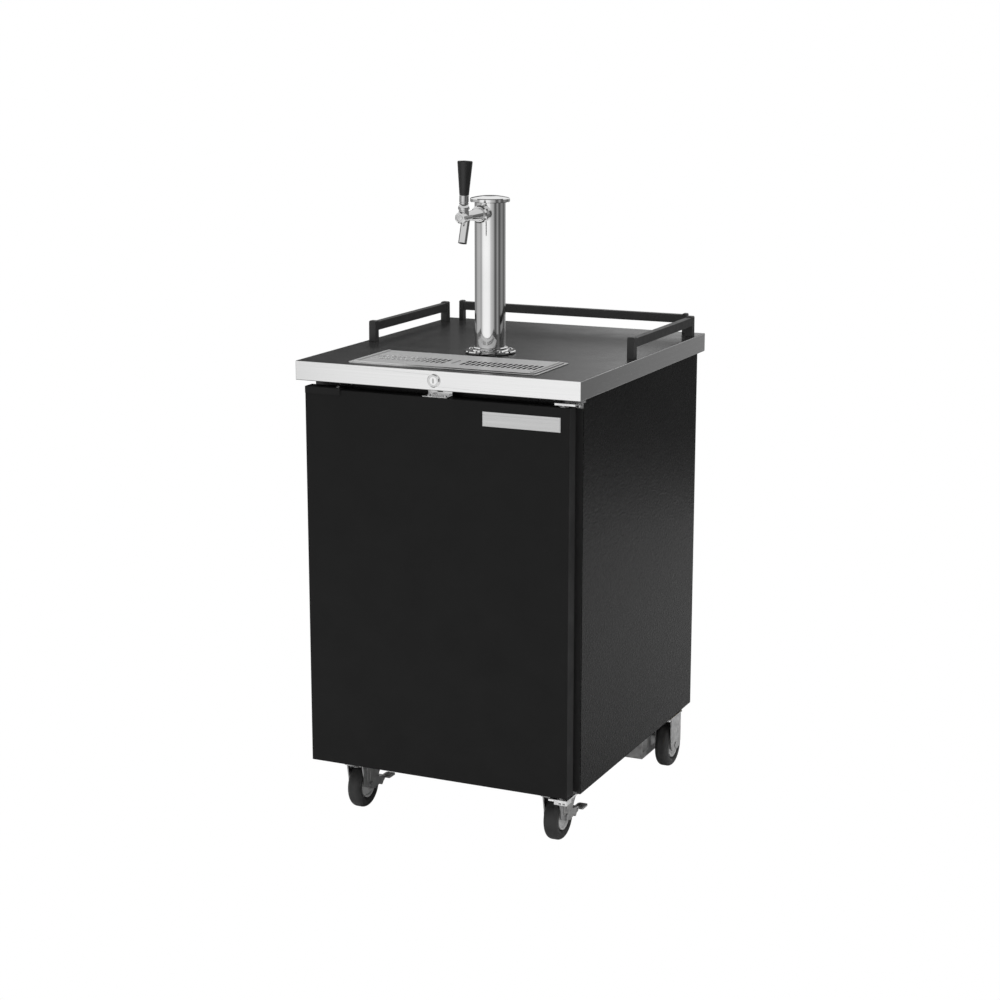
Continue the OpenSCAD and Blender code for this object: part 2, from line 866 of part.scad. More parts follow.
// Faucet body: tapered barrel, spout and the socket for the lever's ball
module faucet_body() {
    barrel_r = barrel_d / 2;
    color("#dfe1e3")
    difference() {
        union() {
            faucet_turned() rotate_extrude() polygon([
                [0, body_start], [14.3, body_start], [14.3, body_start + 2.7], [13, body_start + 2.7],
                [13, body_start + 8], [8.4, body_neck - 6], [8.4, body_neck - 2], [barrel_r - 1, body_neck],
                [barrel_r, body_neck + 2], [barrel_r, barrel_end - 2], [barrel_r - 1.2, barrel_end - 1],
                [barrel_r - 1.2, barrel_end], [barrel_r + 0.7, barrel_end + 0.6],
                [barrel_r + 0.7, front_cap_end - 1.5], [barrel_r - 1.5, front_cap_end],
                [barrel_r - 3, front_cap_end], [barrel_r - 3.6, front_cap_end - 1.6],
                [barrel_r - 5.5, front_cap_end - 1.6], [barrel_r - 6.2, front_cap_end - 0.6],
                [0, front_cap_end - 0.2]
            ]);
            at_spout() translate([0, 0, -spout_len]) cylinder(d = spout_d, h = spout_len);
            translate([0, tower_y - handle_reach, faucet_z]) {
                cylinder(r = bonnet_d / 2, h = bonnet_low - 0.1);
                cylinder(r = bonnet_d / 2 - 1.6, h = boss_top);
            }
        }
        faucet_rod(6.6, body_start - over, seat_s);
        faucet_rod(guide_d / 2 + run, seat_s - over, barrel_end);
        at_spout() translate([0, 0, -spout_len - over]) {
            cylinder(d = spout_bore, h = spout_socket + over);
            cylinder(d = throat_d, h = spout_len + over);
        }
        translate([0, tower_y - handle_reach, faucet_z]) {
            translate([0, 0, pivot_h]) sphere(r = socket_r);
            block([-neck_r - 0.6, -neck_r - 0.6 - tip_rest, 0],
                  [neck_r + 0.6, pivot_h * tan(lean_front) + 1, pivot_h - 3]);
        }
    }
}

// Bonnet that holds the ball: a ring nut with a ball-turned crown, slotted for the stem,
// and the cross bore that the lever's trunnions turn in
module faucet_bonnet() {
    r = bonnet_d / 2;
    crown_r = crown_d / 2;
    slot = stem_r + 0.5;
    reach = crown_d;
    color("#d4d6d8")
    translate([0, tower_y - handle_reach, faucet_z])
    difference() {
        union() {
            rotate_extrude() polygon([
                [0, bonnet_low], [r, bonnet_low], [r, bonnet_low + 1.6], [r - 0.8, bonnet_low + 2.2],
                [r - 0.8, bonnet_low + 3], [r, bonnet_low + 3.6], [r, pivot_h], [0, pivot_h]
            ]);
            intersection() {
                translate([0, 0, pivot_h]) sphere(r = crown_r);
                translate([0, 0, pivot_h - 2]) cylinder(r = crown_d, h = crown_d);
            }
        }
        translate([0, 0, bonnet_low - over]) cylinder(r = r - 1.5, h = boss_top + 0.2 - bonnet_low + over);
        translate([0, 0, pivot_h]) {
            sphere(r = socket_r);
            rod_x(trunnion_r + run, -crown_d, crown_d);
            plate_yz(-slot, slot) polygon([
                [slot * cos(lever_lean), -slot * sin(lever_lean)],
                [slot * cos(lever_lean) + reach * sin(lever_lean),
                 reach * cos(lever_lean) - slot * sin(lever_lean)],
                [-slot * cos(lean_front) - reach * sin(lean_front),
                 reach * cos(lean_front) - slot * sin(lean_front)],
                [-slot * cos(lean_front), -slot * sin(lean_front)]
            ]);
        }
    }
}

// Valve shaft: head on the rear seat, front guide, and the slot that the lever's tip sits in
module faucet_shaft() {
    guide_r = guide_d / 2;
    slot_back = tip_r + tip_play;
    slot_front = slot_back + 1.5;
    color("#b0b3b6")
    difference() {
        union() {
            faucet_rod(3, seat_s - 4, handle_reach);
            faucet_rod(6, seat_s - 4.8, seat_s - 0.4);
            faucet_rod(guide_r, handle_reach - 7, handle_reach + 9);
        }
        translate([0, tower_y - handle_reach, faucet_z])
            block([-tip_r - tip_play, -slot_front - tip_rest, -tip_r - tip_play],
                  [tip_r + tip_play, slot_back - tip_rest, guide_d]);
    }
}

// Places children at the lever's pivot, leaning with the closed lever
module at_lever() {
    translate([0, tower_y - handle_reach, faucet_z + pivot_h]) rotate([-lever_lean, 0, 0]) children();
}

// Lever: tip, neck, ball with its trunnions, stem, and the ferrule whose skirt runs round the crown
module faucet_lever() {
    color("#dcdee0")
    at_lever() {
        translate([0, 0, -pivot_h]) {
            sphere(r = tip_r);
            cylinder(r = neck_r, h = pivot_h);
        }
        sphere(d = ball_d);
        rod_x(trunnion_r, -crown_d / 2 - 0.6, crown_d / 2 + 0.6);
        cylinder(r = stem_r, h = crown_d / 2 + 3);
        difference() {
            rotate_extrude() polygon([
                [0, ferrule_low], [ferrule_r, ferrule_low], [ferrule_r, ferrule_low + 2.5],
                [ferrule_r - 0.7, ferrule_low + 3.1], [ferrule_r - 0.7, ferrule_low + 4],
                [ferrule_r, ferrule_low + 4.6], [ferrule_r, ferrule_top - 0.8],
                [ferrule_r - 0.6, ferrule_top], [0, ferrule_top]
            ]);
            sphere(r = crown_d / 2 + pass);
        }
    }
}

// Tapered tap handle with a rounded top
module tap_handle() {
    foot_r = handle_foot_d / 2;
    top_r = handle_top_d / 2;
    round = 3;
    color("#1b1b1c")
    at_lever() translate([0, 0, ferrule_top])
        rotate_extrude() polygon(concat(
            [[0, 0], [foot_r - 0.6, 0], [foot_r, 0.8]],
            [for (a = [0 : 15 : 75])
                [top_r - round + round * cos(a), handle_len - round + round * sin(a) * 0.8]],
            [[top_r - round, handle_len - round * 0.2], [0, handle_len]]
        ));
}

// Lock

// Barrel with its front rim, fixed in the worktop's edge
module lock_barrel() {
    rim = bezel_d / 2;
    color("#cfd1d3")
    translate([0, 0, lock_z])
    difference() {
        union() {
            translate([0, top_front, 0]) rotate([90, 0, 0]) rotate_extrude() polygon([
                [0, 0], [rim, 0], [rim, bezel_t - 1.5], [rim - 1.5, bezel_t], [0, bezel_t]
            ]);
            rod_y(barrel_r, top_front - over, cam_y - pass);
        }
        rod_y(plug_d / 2 + run, top_front - bezel_t - over, cam_y + over);
    }
}

// Key plug with the cam on its back end
module lock_plug() {
    face = top_front - bezel_t + 0.5;
    color("#bfc2c4")
    translate([0, 0, lock_z])
    difference() {
        union() {
            rod_y(plug_d / 2, face, cam_y + 0.5);
            translate([0, cam_y + cam_t, 0]) rotate([90, 0, 0]) linear_extrude(cam_t) {
                circle(d = cam_w);
                translate([0, -cam_w / 2]) square([cam_len - 3, cam_w]);
                translate([cam_len - 3, -cam_w / 2 + 3]) square([3, cam_w - 6]);
                for (sy = [-1, 1]) translate([cam_len - 3, sy * (cam_w / 2 - 3)]) circle(3);
            }
        }
        block([-0.9, face - over, -4.5], [0.9, face + 4, 4.5]);
    }
}

// Hinges

// Pin with a shoulder that keeps the door off the bracket, along +Z
module hinge_pin(length) {
    cylinder(d = bush_d, h = shoulder_h);
    cylinder(d = pin_d, h = length);
}

// Upper and lower hinge brackets on the cabinet's front
module hinge_brackets() {
    x1 = hinge_x + hinge_plate_w - 13.5;
    x0 = x1 - hinge_plate_w;
    flange_x = cab_w / 2 - 0.5;
    pin_len = shoulder_h + pass + bush_lip + bush_len - 3;
    low_x0 = hinge_x - hinge_lip_reach;
    low_x1 = low_x0 + hinge_low_w;
    lip_z = low_plate_z - hinge_t - hinge_lip_h;
    color("#d0d2d4") {
        block([x0, hinge_front, top_plate_z], [x1, cab_front - 0.5, top_plate_z + hinge_t]);
        block([x0, cab_front - hinge_flange_t, gasket_z1 + 6], [flange_x, cab_front, top_under - 1]);
        translate([hinge_x, hinge_y, top_plate_z]) mirror([0, 0, 1]) hinge_pin(pin_len);
        block([low_x0, hinge_front, low_plate_z - hinge_t], [low_x1, cab_front - 0.5, low_plate_z]);
        block([low_x0, cab_front - hinge_flange_t, low_plate_z - hinge_t],
              [low_x1, cab_front, low_plate_z + hinge_low_rise]);
        translate([hinge_x, hinge_y, low_plate_z]) hinge_pin(pin_len);
        difference() {
            union() {
                block([low_x0 + 12, hinge_front, lip_z], [low_x1, hinge_front + 2.5, low_plate_z - over]);
                block([low_x1 - 2.5, hinge_front, lip_z], [low_x1, hinge_y + 10, low_plate_z - over]);
            }
            for (x = [low_x1 - 15, low_x1 - 6])
                translate([x, hinge_front - over, lip_z + hinge_lip_h / 2])
                    rotate([-90, 0, 0]) linear_extrude(6) round_rect(6, 3, 1.4);
        }
    }
}

// Door

// Holes in the door for the hinge bushes
module bush_holes() {
    for (z = [door_z0 - over, door_z1 - bush_len - 0.5])
        translate([hinge_x, hinge_y, z]) cylinder(d = bush_d + 2 * seat, h = bush_len + over + 0.5);
}

// Outer steel pan of the door
module door_pan() {
    x = door_w / 2;
    color("#1f1f20")
    difference() {
        block([-x, door_front, door_z0], [x, door_rear, door_z1]);
        block([-x + pan_t, door_front + pan_t, door_z0 + pan_t],
              [x - pan_t, door_rear + over, door_z1 - pan_t]);
        bush_holes();
    }
}

// Insulation inside the door
module door_foam() {
    x = door_w / 2 - pan_t;
    color("#e8d9a0")
    difference() {
        block([-x, door_front + pan_t, door_z0 + pan_t], [x, door_rear, door_z1 - pan_t]);
        bush_holes();
    }
}

// Inner door liner with its raised rim
module door_liner() {
    x = door_w / 2 - 1;
    dx = in_w / 2 - dike_gap;
    z0 = in_floor + dike_gap;
    z1 = in_ceil - dike_gap;
    color("#c9cacb") {
        block([-x, door_rear, door_z0 + 1], [x, liner_face, door_z1 - 1]);
        difference() {
            block([-dx, door_rear + 0.5, z0], [dx, liner_face + dike_h, z1]);
            block([-dx + dike_w, door_rear, z0 + dike_w],
                  [dx - dike_w, liner_face + dike_h + over, z1 - dike_w]);
        }
    }
}

// One layer of the gasket: a frame inset by inset at both edges of the full width
module gasket_layer(inset, y0, y1) {
    difference() {
        block([-gasket_out + inset, y0, gasket_z0 + inset], [gasket_out - inset, y1, gasket_z1 - inset]);
        block([-gasket_in - inset, y0 - over, gasket_z0 + gasket_w - inset],
              [gasket_in + inset, y1 + over, gasket_z1 - gasket_w + inset]);
    }
}

// Bellows gasket: base, two folds and the magnet pocket
module door_gasket() {
    y1 = cab_front - pass;
    h = y1 - liner_face;
    color("#0c0c0d") {
        gasket_layer(0, liner_face, liner_face + 0.3 * h);
        gasket_layer(4, liner_face + 0.3 * h, liner_face + 0.45 * h);
        gasket_layer(1.5, liner_face + 0.45 * h, liner_face + 0.6 * h);
        gasket_layer(4, liner_face + 0.6 * h, liner_face + 0.72 * h);
        gasket_layer(0.5, liner_face + 0.72 * h, y1);
    }
}

// Moulded cap over the door's upper free corner
module door_corner_cap() {
    x0 = -door_w / 2;
    r = 5;
    color("#1c1c1d")
    difference() {
        translate([x0 - cap_t, 0, 0]) union() {
            block([r, door_front - cap_t, door_z1 - cap_drop],
                  [cap_len, door_rear - 1, door_z1 + 2 * cap_t]);
            block([0, door_front - cap_t + r, door_z1 - cap_drop],
                  [cap_len, door_rear - 1, door_z1 + 2 * cap_t]);
            translate([r, door_front - cap_t + r, door_z1 - cap_drop])
                cylinder(r = r, h = cap_drop + 2 * cap_t);
        }
        block([x0 - seat, door_front - seat, door_z0], [door_w, door_rear + over, door_z1 + seat]);
    }
}

// Flanged bushes that turn on the hinge pins
module bush() {
    difference() {
        union() {
            cylinder(d = bush_d, h = bush_len);
            translate([0, 0, bush_len]) cylinder(d = bush_d + 4, h = bush_lip);
        }
        translate([0, 0, -over]) cylinder(d = pin_d + 2 * run, h = bush_len + bush_lip + 2 * over);
    }
}

module door_bushes() {
    color("#e9e9e6") {
        translate([hinge_x, hinge_y, door_z1 - bush_len]) bush();
        translate([hinge_x, hinge_y, door_z0 + bush_len]) mirror([0, 0, 1]) bush();
    }
}

// Strike on the door's top that the lock's cam turns down in front of
module door_strike() {
    y1 = door_rear - 0.5;
    lip = top_under - door_z1 - 4;
    notch = 12;
    color("#d0d2d4") {
        block([-strike_w / 2, door_front + 4, door_z1], [strike_w / 2, y1, door_z1 + strike_base_t]);
        difference() {
            block([-strike_w / 2, y1 - strike_t, door_z1], [strike_w / 2, y1, door_z1 + lip]);
            block([-notch / 2, y1 - strike_t - over, door_z1 + lip - 3],
                  [notch / 2, y1 + over, door_z1 + lip + over]);
        }
        for (sx = [-1, 1])
            translate([sx * strike_w / 3, hinge_y, door_z1 + 0.5]) cylinder(d = 8, h = strike_base_t + 1);
    }
}

// Casters

// Places children at the kingpin of a front caster, turned to its yaw
module at_front(side) {
    translate([side * king_x, king_y, 0]) rotate(caster_yaw) children();
}

// Mounting plate with four screw heads
module caster_plate(w, d) {
    translate([0, 0, plate_z]) linear_extrude(plate_t) round_rect(w, d, 6);
    for (sx = [-1, 1], sy = [-1, 1])
        translate([sx * (w / 2 - 9), sy * (d / 2 - 9), plate_z - 2.5]) cylinder(d = 9, h = 3);
}

// Swivel plates of the front casters with their kingpins
module caster_plates() {
    color("#b7babc")
    for (side = [-1, 1])
        translate([side * king_x, king_y, 0]) {
            caster_plate(plate_w, plate_l);
            translate([0, 0, crown_z - 3.5]) cylinder(d = king_d, h = plate_z - crown_z + 4);
            translate([0, 0, crown_z - 4.5]) cylinder(d = king_d + 6, h = 4.5 - pass);
        }
}

// Swivel fork with its raceway, legs and axle, standing at its kingpin
module swivel_fork() {
    x1 = leg_in + leg_t;
    color("#9b9ea1") {
        difference() {
            union() {
                translate([0, 0, crown_z]) rotate_extrude() polygon([
                    [0, 0], [20, 0], [race_d / 2, 5], [race_d / 2, plate_z - crown_z - 1.6],
                    [race_d / 2 - 1.5, plate_z - crown_z - pass], [0, plate_z - crown_z - pass]
                ]);
                block([-x1, -15, crown_z], [x1, crown_back, crown_z + crown_t]);
                for (sx = [-1, 1]) {
                    plate_yz(min(sx * leg_in, sx * x1), max(sx * leg_in, sx * x1)) fork_leg();
                    plate_yz(sx * x1 - 1.2, sx * x1 + 1.2) leg_flutes();
                }
            }
            translate([0, 0, crown_z - over])
                cylinder(d = king_d + 2 * run, h = plate_z - crown_z + 2 * over);
        }
        translate([0, trail, wheel_r]) rod_x(axle_d / 2, -x1 + 0.5, x1 - 0.5);
        translate([0, trail, wheel_r])
            for (sx = [-1, 1])
                rod_x(axle_d / 2 + 3, sx * (x1 + 1) - 1.5, sx * (x1 + 1) + 1.5);
        translate([0, pedal_y, pedal_z]) rod_x(pedal_pin_r, -x1 - 1, x1 + 1);
    }
}

// Outline of a front fork leg in its own plane: a raked skirt with its sole and the pedal's ear
module fork_leg() {
    front = trail - 30;
    back = trail + 18;
    polygon([
        [-8, crown_z + crown_t], [crown_back, crown_z + crown_t], [crown_back + 8, crown_z - 9],
        [crown_back + 9, crown_z - 20], [back + 11, pedal_z + 11], [pedal_y, pedal_z + 6],
        [pedal_y, pedal_z - 6], [back + 8, pedal_z - 8], [back, wheel_r - 13],
        [front + 1, wheel_r + 4], [front, wheel_r + 20]
    ]);
    translate([pedal_y, pedal_z]) circle(6);
    translate([trail, wheel_r]) circle(axle_d / 2 + 4);
}

// Two tapered flutes pressed outwards in a fork leg
module leg_flutes() {
    for (y = [trail - 16, trail - 3])
        polygon([
            [y - 3, crown_z], [y + 4, crown_z], [y + 3, wheel_r + 16], [y, wheel_r + 11],
            [y - 1, wheel_r + 16]
        ]);
}

// Brake pedal on its pin: sleeve, shoe that swings onto the tread, arm and ribbed pad
module brake_pedal() {
    w = 2 * leg_in - 2;
    arm_x = 2;
    pad_x = 14;
    pad_w = 19;
    pad_l = 27;
    pad_drop = -7;
    color("#77797c")
    translate([0, pedal_y, pedal_z])
    difference() {
        union() {
            rod_x(pedal_tube_r, -w / 2, w / 2);
            plate_yz(arm_x, w / 2) polygon([
                [0, 4.2], [9, 3.5], [pedal_len - pad_l + 3, pad_drop + 3], [pedal_len - 1, pad_drop + 3],
                [pedal_len - 1, pad_drop + 0.5], [20, pad_drop + 0.5], [9, -5], [3, -13],
                [-1, -15.5], [-4.5, -14], [-4, 0]
            ]);
            translate([pad_x, pedal_len - pad_l / 2, pad_drop])
                linear_extrude(4) round_rect(pad_w, pad_l, 3);
            for (i = [-1.5 : 1.5])
                translate([pad_x, pedal_len - pad_l / 2 + 5 * i, pad_drop + 3.5])
                    linear_extrude(1.5) round_rect(pad_w - 5, 2, 0.9);
        }
        rod_x(pedal_pin_r + run, -w, w);
    }
}

// Tyre with rounded shoulders, its axle along X through the origin
module tyre() {
    depth = (wheel_d - hub_d) / 2;
    color("#1d1d1e")
    rotate([0, 90, 0]) rotate_extrude()
        translate([hub_d / 2 + depth / 2, 0]) round_rect(depth, tread_w, depth / 2 - 0.4);
}

// Wheel core with dished faces and a bore for the axle
module hub() {
    r = hub_d / 2 - seat;
    w = tread_w / 2 - 2;
    boss_w = leg_in - pass;
    color("#8f9295")
    rotate([0, 90, 0]) rotate_extrude()
        polygon([
            [axle_d / 2 + run, -boss_w], [axle_d / 2 + 4, -boss_w],
            [axle_d / 2 + 4.5, -w + 4], [r - 6, -w + 4],
            [r - 3, -w], [r, -w], [r, w], [r - 3, w], [r - 6, w - 4], [axle_d / 2 + 4.5, w - 4],
            [axle_d / 2 + 4, boss_w], [axle_d / 2 + run, boss_w]
        ]);
}

// Places children on the axle of a front wheel or a rear wheel
module at_front_wheel(side) {
    at_front(side) translate([0, trail, wheel_r]) children();
}

module at_rear_wheel(side) {
    translate([side * rear_x, rear_y, wheel_r]) children();
}

module caster_fork_left() { at_front(-1) swivel_fork(); }
module caster_fork_right() { at_front(1) swivel_fork(); }
module brake_pedal_left() { at_front(-1) brake_pedal(); }
module brake_pedal_right() { at_front(1) brake_pedal(); }
module caster_tyre_left() { at_front_wheel(-1) tyre(); }
module caster_tyre_right() { at_front_wheel(1) tyre(); }
module caster_hub_left() { at_front_wheel(-1) hub(); }
module caster_hub_right() { at_front_wheel(1) hub(); }
module rear_tyre_left() { at_rear_wheel(-1) tyre(); }
module rear_tyre_right() { at_rear_wheel(1) tyre(); }
module rear_hub_left() { at_rear_wheel(-1) hub(); }
module rear_hub_right() { at_rear_wheel(1) hub(); }

// Outline of a rear fork leg in its own plane: straight sides and a rounded foot under the axle
module rear_leg() {
    half = 30;
    foot = 10;
    corner = 18;
    low = wheel_r - foot;
    translate([0, low + half]) round_rect(2 * half, 2 * half, corner);
    translate([-half, low + half]) square([2 * half, plate_z - low - half + over]);
}

// Rigid forks of the rear casters with their axle bolts
module rear_forks() {
    w = 2 * (leg_in + leg_t);
    color("#a5a8ab")
    for (side = [-1, 1])
        translate([side * rear_x, rear_y, 0]) {
            caster_plate(w, 84);
            for (sx = [-1, 1])
                plate_yz(min(sx * leg_in, sx * w / 2), max(sx * leg_in, sx * w / 2)) rear_leg();
            translate([0, 0, wheel_r]) {
                rod_x(axle_d / 2, -w / 2 - 1, w / 2 + 1);
                for (sx = [-1, 1])
                    rod_x(axle_d / 2 + 3, sx * (w / 2 + 0.5) - 1, sx * (w / 2 + 0.5) + 1);
            }
        }
}

// Refrigeration

// Galvanised tray of the condensing unit, hung under the base plate
module base_pan() {
    color("#a3a6a8") {
        block([-pan_half, pan_front, pan_z], [pan_half, pan_back, pan_floor]);
        block([-pan_half, pan_front, pan_z], [pan_half, pan_front + sheet, base_z]);
        block([-pan_half, pan_front - 12, base_z - sheet], [pan_half, pan_front + sheet, base_z]);
        for (sx = [-1, 1]) {
            x = sx * (pan_half - sheet / 2);
            block([x - sheet / 2, pan_front, pan_z], [x + sheet / 2, pan_back, pan_z + pan_lip]);
            block([sx * (pan_half - 8) - 8, pan_back - sheet, pan_z],
                  [sx * (pan_half - 8) + 8, pan_back, base_z]);
            block([x - sheet / 2, pan_front + post_set, pan_z],
                  [x + sheet / 2, pan_front + post_set + post_w, base_z]);
        }
        block([-pan_half, pan_back - sheet, pan_z], [pan_half, pan_back, pan_z + pan_lip]);
    }
}

// Hermetic compressor on its foot plate
module compressor() {
    r = comp_d / 2;
    dome = 40;
    color("#1a1a1b")
    translate([comp_x, comp_y, pan_floor]) {
        linear_extrude(3) round_rect(comp_d + 30, comp_d - 8, 12);
        cylinder(r = r - 6, h = 20);
        translate([0, 0, 10]) cylinder(r = r, h = comp_h - dome - 10);
        translate([0, 0, comp_h / 2]) cylinder(r = r + 3, h = 5);
        intersection() {
            translate([0, 0, comp_h - r * 1.15]) sphere(r = r * 1.15);
            translate([0, 0, comp_h - dome - 1]) cylinder(r = r, h = dome + 10);
        }
        block([r - 8, -28, 30], [r + 22, 28, 90]);
    }
}

// Finned condenser coil
module condenser() {
    x0 = cfan_x - cfan_d / 2 - cond_margin;
    x1 = cfan_x + cfan_d / 2 + cond_margin;
    z1 = cfan_z + cfan_d / 2 + 14;
    fins = 20;
    tubes = 4;
    pitch = (x1 - x0 - 2) / (fins - 1);
    color("#8b8e8a") {
        for (i = [0 : fins - 1])
            block([x0 + i * pitch, cond_front, pan_floor], [x0 + i * pitch + 2, cond_back, z1]);
        for (i = [0 : tubes - 1])
            translate([0, (cond_front + cond_back) / 2, pan_floor + (i + 0.5) * (z1 - pan_floor) / tubes])
                rod_x(5, x0 - 8, x1 + 8);
    }
}

// Fan motor on its post, with the shaft that carries the fan
module condenser_motor() {
    color("#4b4d50")
    translate([cfan_x, 0, 0]) {
        block([-10, cfan_y - motor_far, pan_floor], [10, cfan_y - motor_near, cfan_z]);
        block([-30, cfan_y - 60, pan_floor], [30, cfan_y - 24, pan_floor + 2]);
        translate([0, 0, cfan_z]) {
            rod_y(30, cfan_y - 66, cfan_y - 14);
            rod_y(4, cfan_y - 20, cfan_y + 8);
        }
    }
}

// Fan rotor: hub and pitched blades, its axis along Y through the origin
module fan(d, hub_r, hub_l, blades, bore, pitch_deg) {
    chord = d * 0.3;
    rotate([90, 0, 0])
    difference() {
        union() {
            translate([0, 0, -hub_l / 2]) cylinder(r = hub_r, h = hub_l);
            intersection() {
                for (i = [0 : blades - 1])
                    rotate(i * 360 / blades) rotate([pitch_deg, 0, 0])
                        translate([hub_r - 2, -chord / 2, -0.75]) cube([d / 2, chord, 1.5]);
                cylinder(d = d, h = d, center = true);
            }
        }
        cylinder(r = bore, h = 2 * hub_l, center = true);
    }
}

module condenser_fan() {
    color("#2a2a2c") translate([cfan_x, cfan_y, cfan_z])
        fan(cfan_d, cfan_hub_r, cfan_hub_l, 5, 4 + run, 22);
}

// Slotted access panel over the machine compartment's back
module rear_grille() {
    x = mach_w / 2 + grille_lap;
    columns = 3;
    rows = 10;
    slot = 128;
    color("#242426")
    difference() {
        block([-x, cab_rear, cab_bottom + 2], [x, cab_rear + grille_t, mach_top + grille_lap]);
        for (c = [0 : columns - 1], i = [0 : rows - 1])
            translate([(c - 1) * (slot + 22), cab_rear - over, cab_bottom + 66 + i * 20])
                rotate([-90, 0, 0]) linear_extrude(grille_t + 2 * over) round_rect(slot, 8, 3.9);
        translate([gland_x, 0, gland_z]) rod_y(9.5 + seat, cab_rear - over, cab_rear + 3);
    }
}

// Evaporator housing with its fan opening, guard and fan motor
module evaporator_cover() {
    x = evap_w / 2;
    color("#d3d5d6") {
        difference() {
            block([-x, evap_front, evap_z], [x, in_back, in_ceil]);
            block([-x + sheet, evap_front + sheet, evap_z + sheet],
                  [x - sheet, in_back + over, in_ceil + over]);
            translate([efan_x, 0, efan_z]) rod_y(efan_d / 2 + 2, evap_front - over, evap_front + 3);
            translate([knob_x, 0, efan_z]) rod_y(3 + run, evap_front - over, evap_front + 3);
            for (i = [0 : 7])
                translate([18 + i * 9, evap_front - over, efan_z])
                    rotate([-90, 0, 0]) linear_extrude(4) round_rect(4, evap_h - 30, 1.9);
        }
        translate([efan_x, 0, efan_z])
            for (a = [0, 90])
                rotate([0, a, 0])
                    block([-efan_d / 2 - 3, evap_front, -1], [efan_d / 2 + 3, evap_front + sheet, 1]);
        block([efan_x - 8, evap_front + 36, evap_z], [efan_x + 8, evap_front + 48, efan_z]);
        translate([efan_x, 0, efan_z]) {
            rod_y(18, evap_front + 30, evap_front + 60);
            rod_y(3, evap_front + 12, evap_front + 31);
        }
    }
}

// Finned evaporator coil behind the outlet slots
module evaporator_coil() {
    x0 = 0;
    x1 = evap_w / 2 - 12;
    y0 = evap_front + coil_set;
    y1 = in_back - 8;
    z0 = evap_z + sheet;
    fins = 12;
    pitch = (x1 - x0 - 1.5) / (fins - 1);
    color("#b9bcb8") {
        for (i = [0 : fins - 1])
            block([x0 + i * pitch, y0, z0], [x0 + i * pitch + 1.5, y1, in_ceil]);
        for (i = [0 : 2])
            translate([0, y0 + (i + 0.5) * (y1 - y0) / 3, (z0 + in_ceil) / 2]) rod_x(5, x0 - 6, x1 + 6);
    }
}

module evaporator_fan() {
    color("#2a2a2c") translate([efan_x, evap_front + 17, efan_z]) fan(efan_d, 11, 14, 4, 3 + run, 20);
}

// Thermostat knob with a grip rib, on its spindle
module thermostat_knob() {
    color("#1b1b1c")
    translate([knob_x, evap_front, efan_z]) {
        rod_y(3, -pass - 1, sheet + 4);
        rod_y(15, -7, -pass);
        rod_y(12, -9, -6);
        block([-3, -17, -13], [3, -8, 13]);
    }
}

// Gland where the mains lead enters
module power_gland() {
    back = cab_rear + grille_t;
    color("#1b1b1c")
    translate([gland_x, 0, gland_z])
    difference() {
        union() {
            rod_y(9.5, cab_rear - 8, back + over);
            rod_y(14, back, back + 2.5);
            rod_y(10, back + 2, gland_end);
        }
        rod_y(4.5, cab_rear - 9, gland_end + over);
    }
}

outer_case();
foam_insulation();
inner_liner();
breaker_frame();
base_plate();
worktop_panel();
worktop_trim();
rail_left();
rail_right();
rail_back();
drip_tray();
drip_grid();
tower_column();
tower_flange();
tower_gasket();
tower_screws();
tower_cap();
faucet_shank();
shank_nuts();
beer_elbow();
faucet_body();
faucet_bonnet();
faucet_shaft();
faucet_lever();
tap_handle();
lock_barrel();
lock_plug();
hinge_brackets();
door_pan();
door_foam();
door_liner();
door_gasket();
door_corner_cap();
door_bushes();
door_strike();
caster_plates();
caster_fork_left();
caster_fork_right();
caster_tyre_left();
caster_tyre_right();
caster_hub_left();
caster_hub_right();
brake_pedal_left();
brake_pedal_right();
rear_forks();
rear_tyre_left();
rear_tyre_right();
rear_hub_left();
rear_hub_right();
base_pan();
compressor();
condenser();
condenser_motor();
condenser_fan();
rear_grille();
evaporator_cover();
evaporator_coil();
evaporator_fan();
thermostat_knob();
power_gland();
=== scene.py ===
"""Draft beer dispenser: looks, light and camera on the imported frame, in metres and its axes."""
import math

import bmesh
import bpy
from mathutils import Matrix, Vector


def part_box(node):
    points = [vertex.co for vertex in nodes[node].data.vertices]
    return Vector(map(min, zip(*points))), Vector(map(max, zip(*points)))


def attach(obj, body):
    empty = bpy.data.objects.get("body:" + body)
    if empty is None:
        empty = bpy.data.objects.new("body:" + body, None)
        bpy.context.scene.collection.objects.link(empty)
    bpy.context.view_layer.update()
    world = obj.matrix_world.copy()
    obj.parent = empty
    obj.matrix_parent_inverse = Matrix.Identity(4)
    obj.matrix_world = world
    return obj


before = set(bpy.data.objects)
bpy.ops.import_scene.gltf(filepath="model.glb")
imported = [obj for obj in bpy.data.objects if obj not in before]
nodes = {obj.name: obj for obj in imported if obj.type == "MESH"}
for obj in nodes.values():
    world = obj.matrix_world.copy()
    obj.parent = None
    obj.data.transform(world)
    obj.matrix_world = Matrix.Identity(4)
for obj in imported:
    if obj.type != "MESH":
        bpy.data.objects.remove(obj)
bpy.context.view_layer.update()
scene = bpy.context.scene
scene.view_settings.view_transform = "Standard"


# Camera, placed from the edges of the worktop and the door in the photograph
EYE = Vector((1.7973, -3.9618, 1.6037))
VIEW_BACK = Vector((0.40679, -0.88684, 0.21917))
SENSOR_MM = 36.0
LENS_MM = 76.65
CLIP_END = 200.0


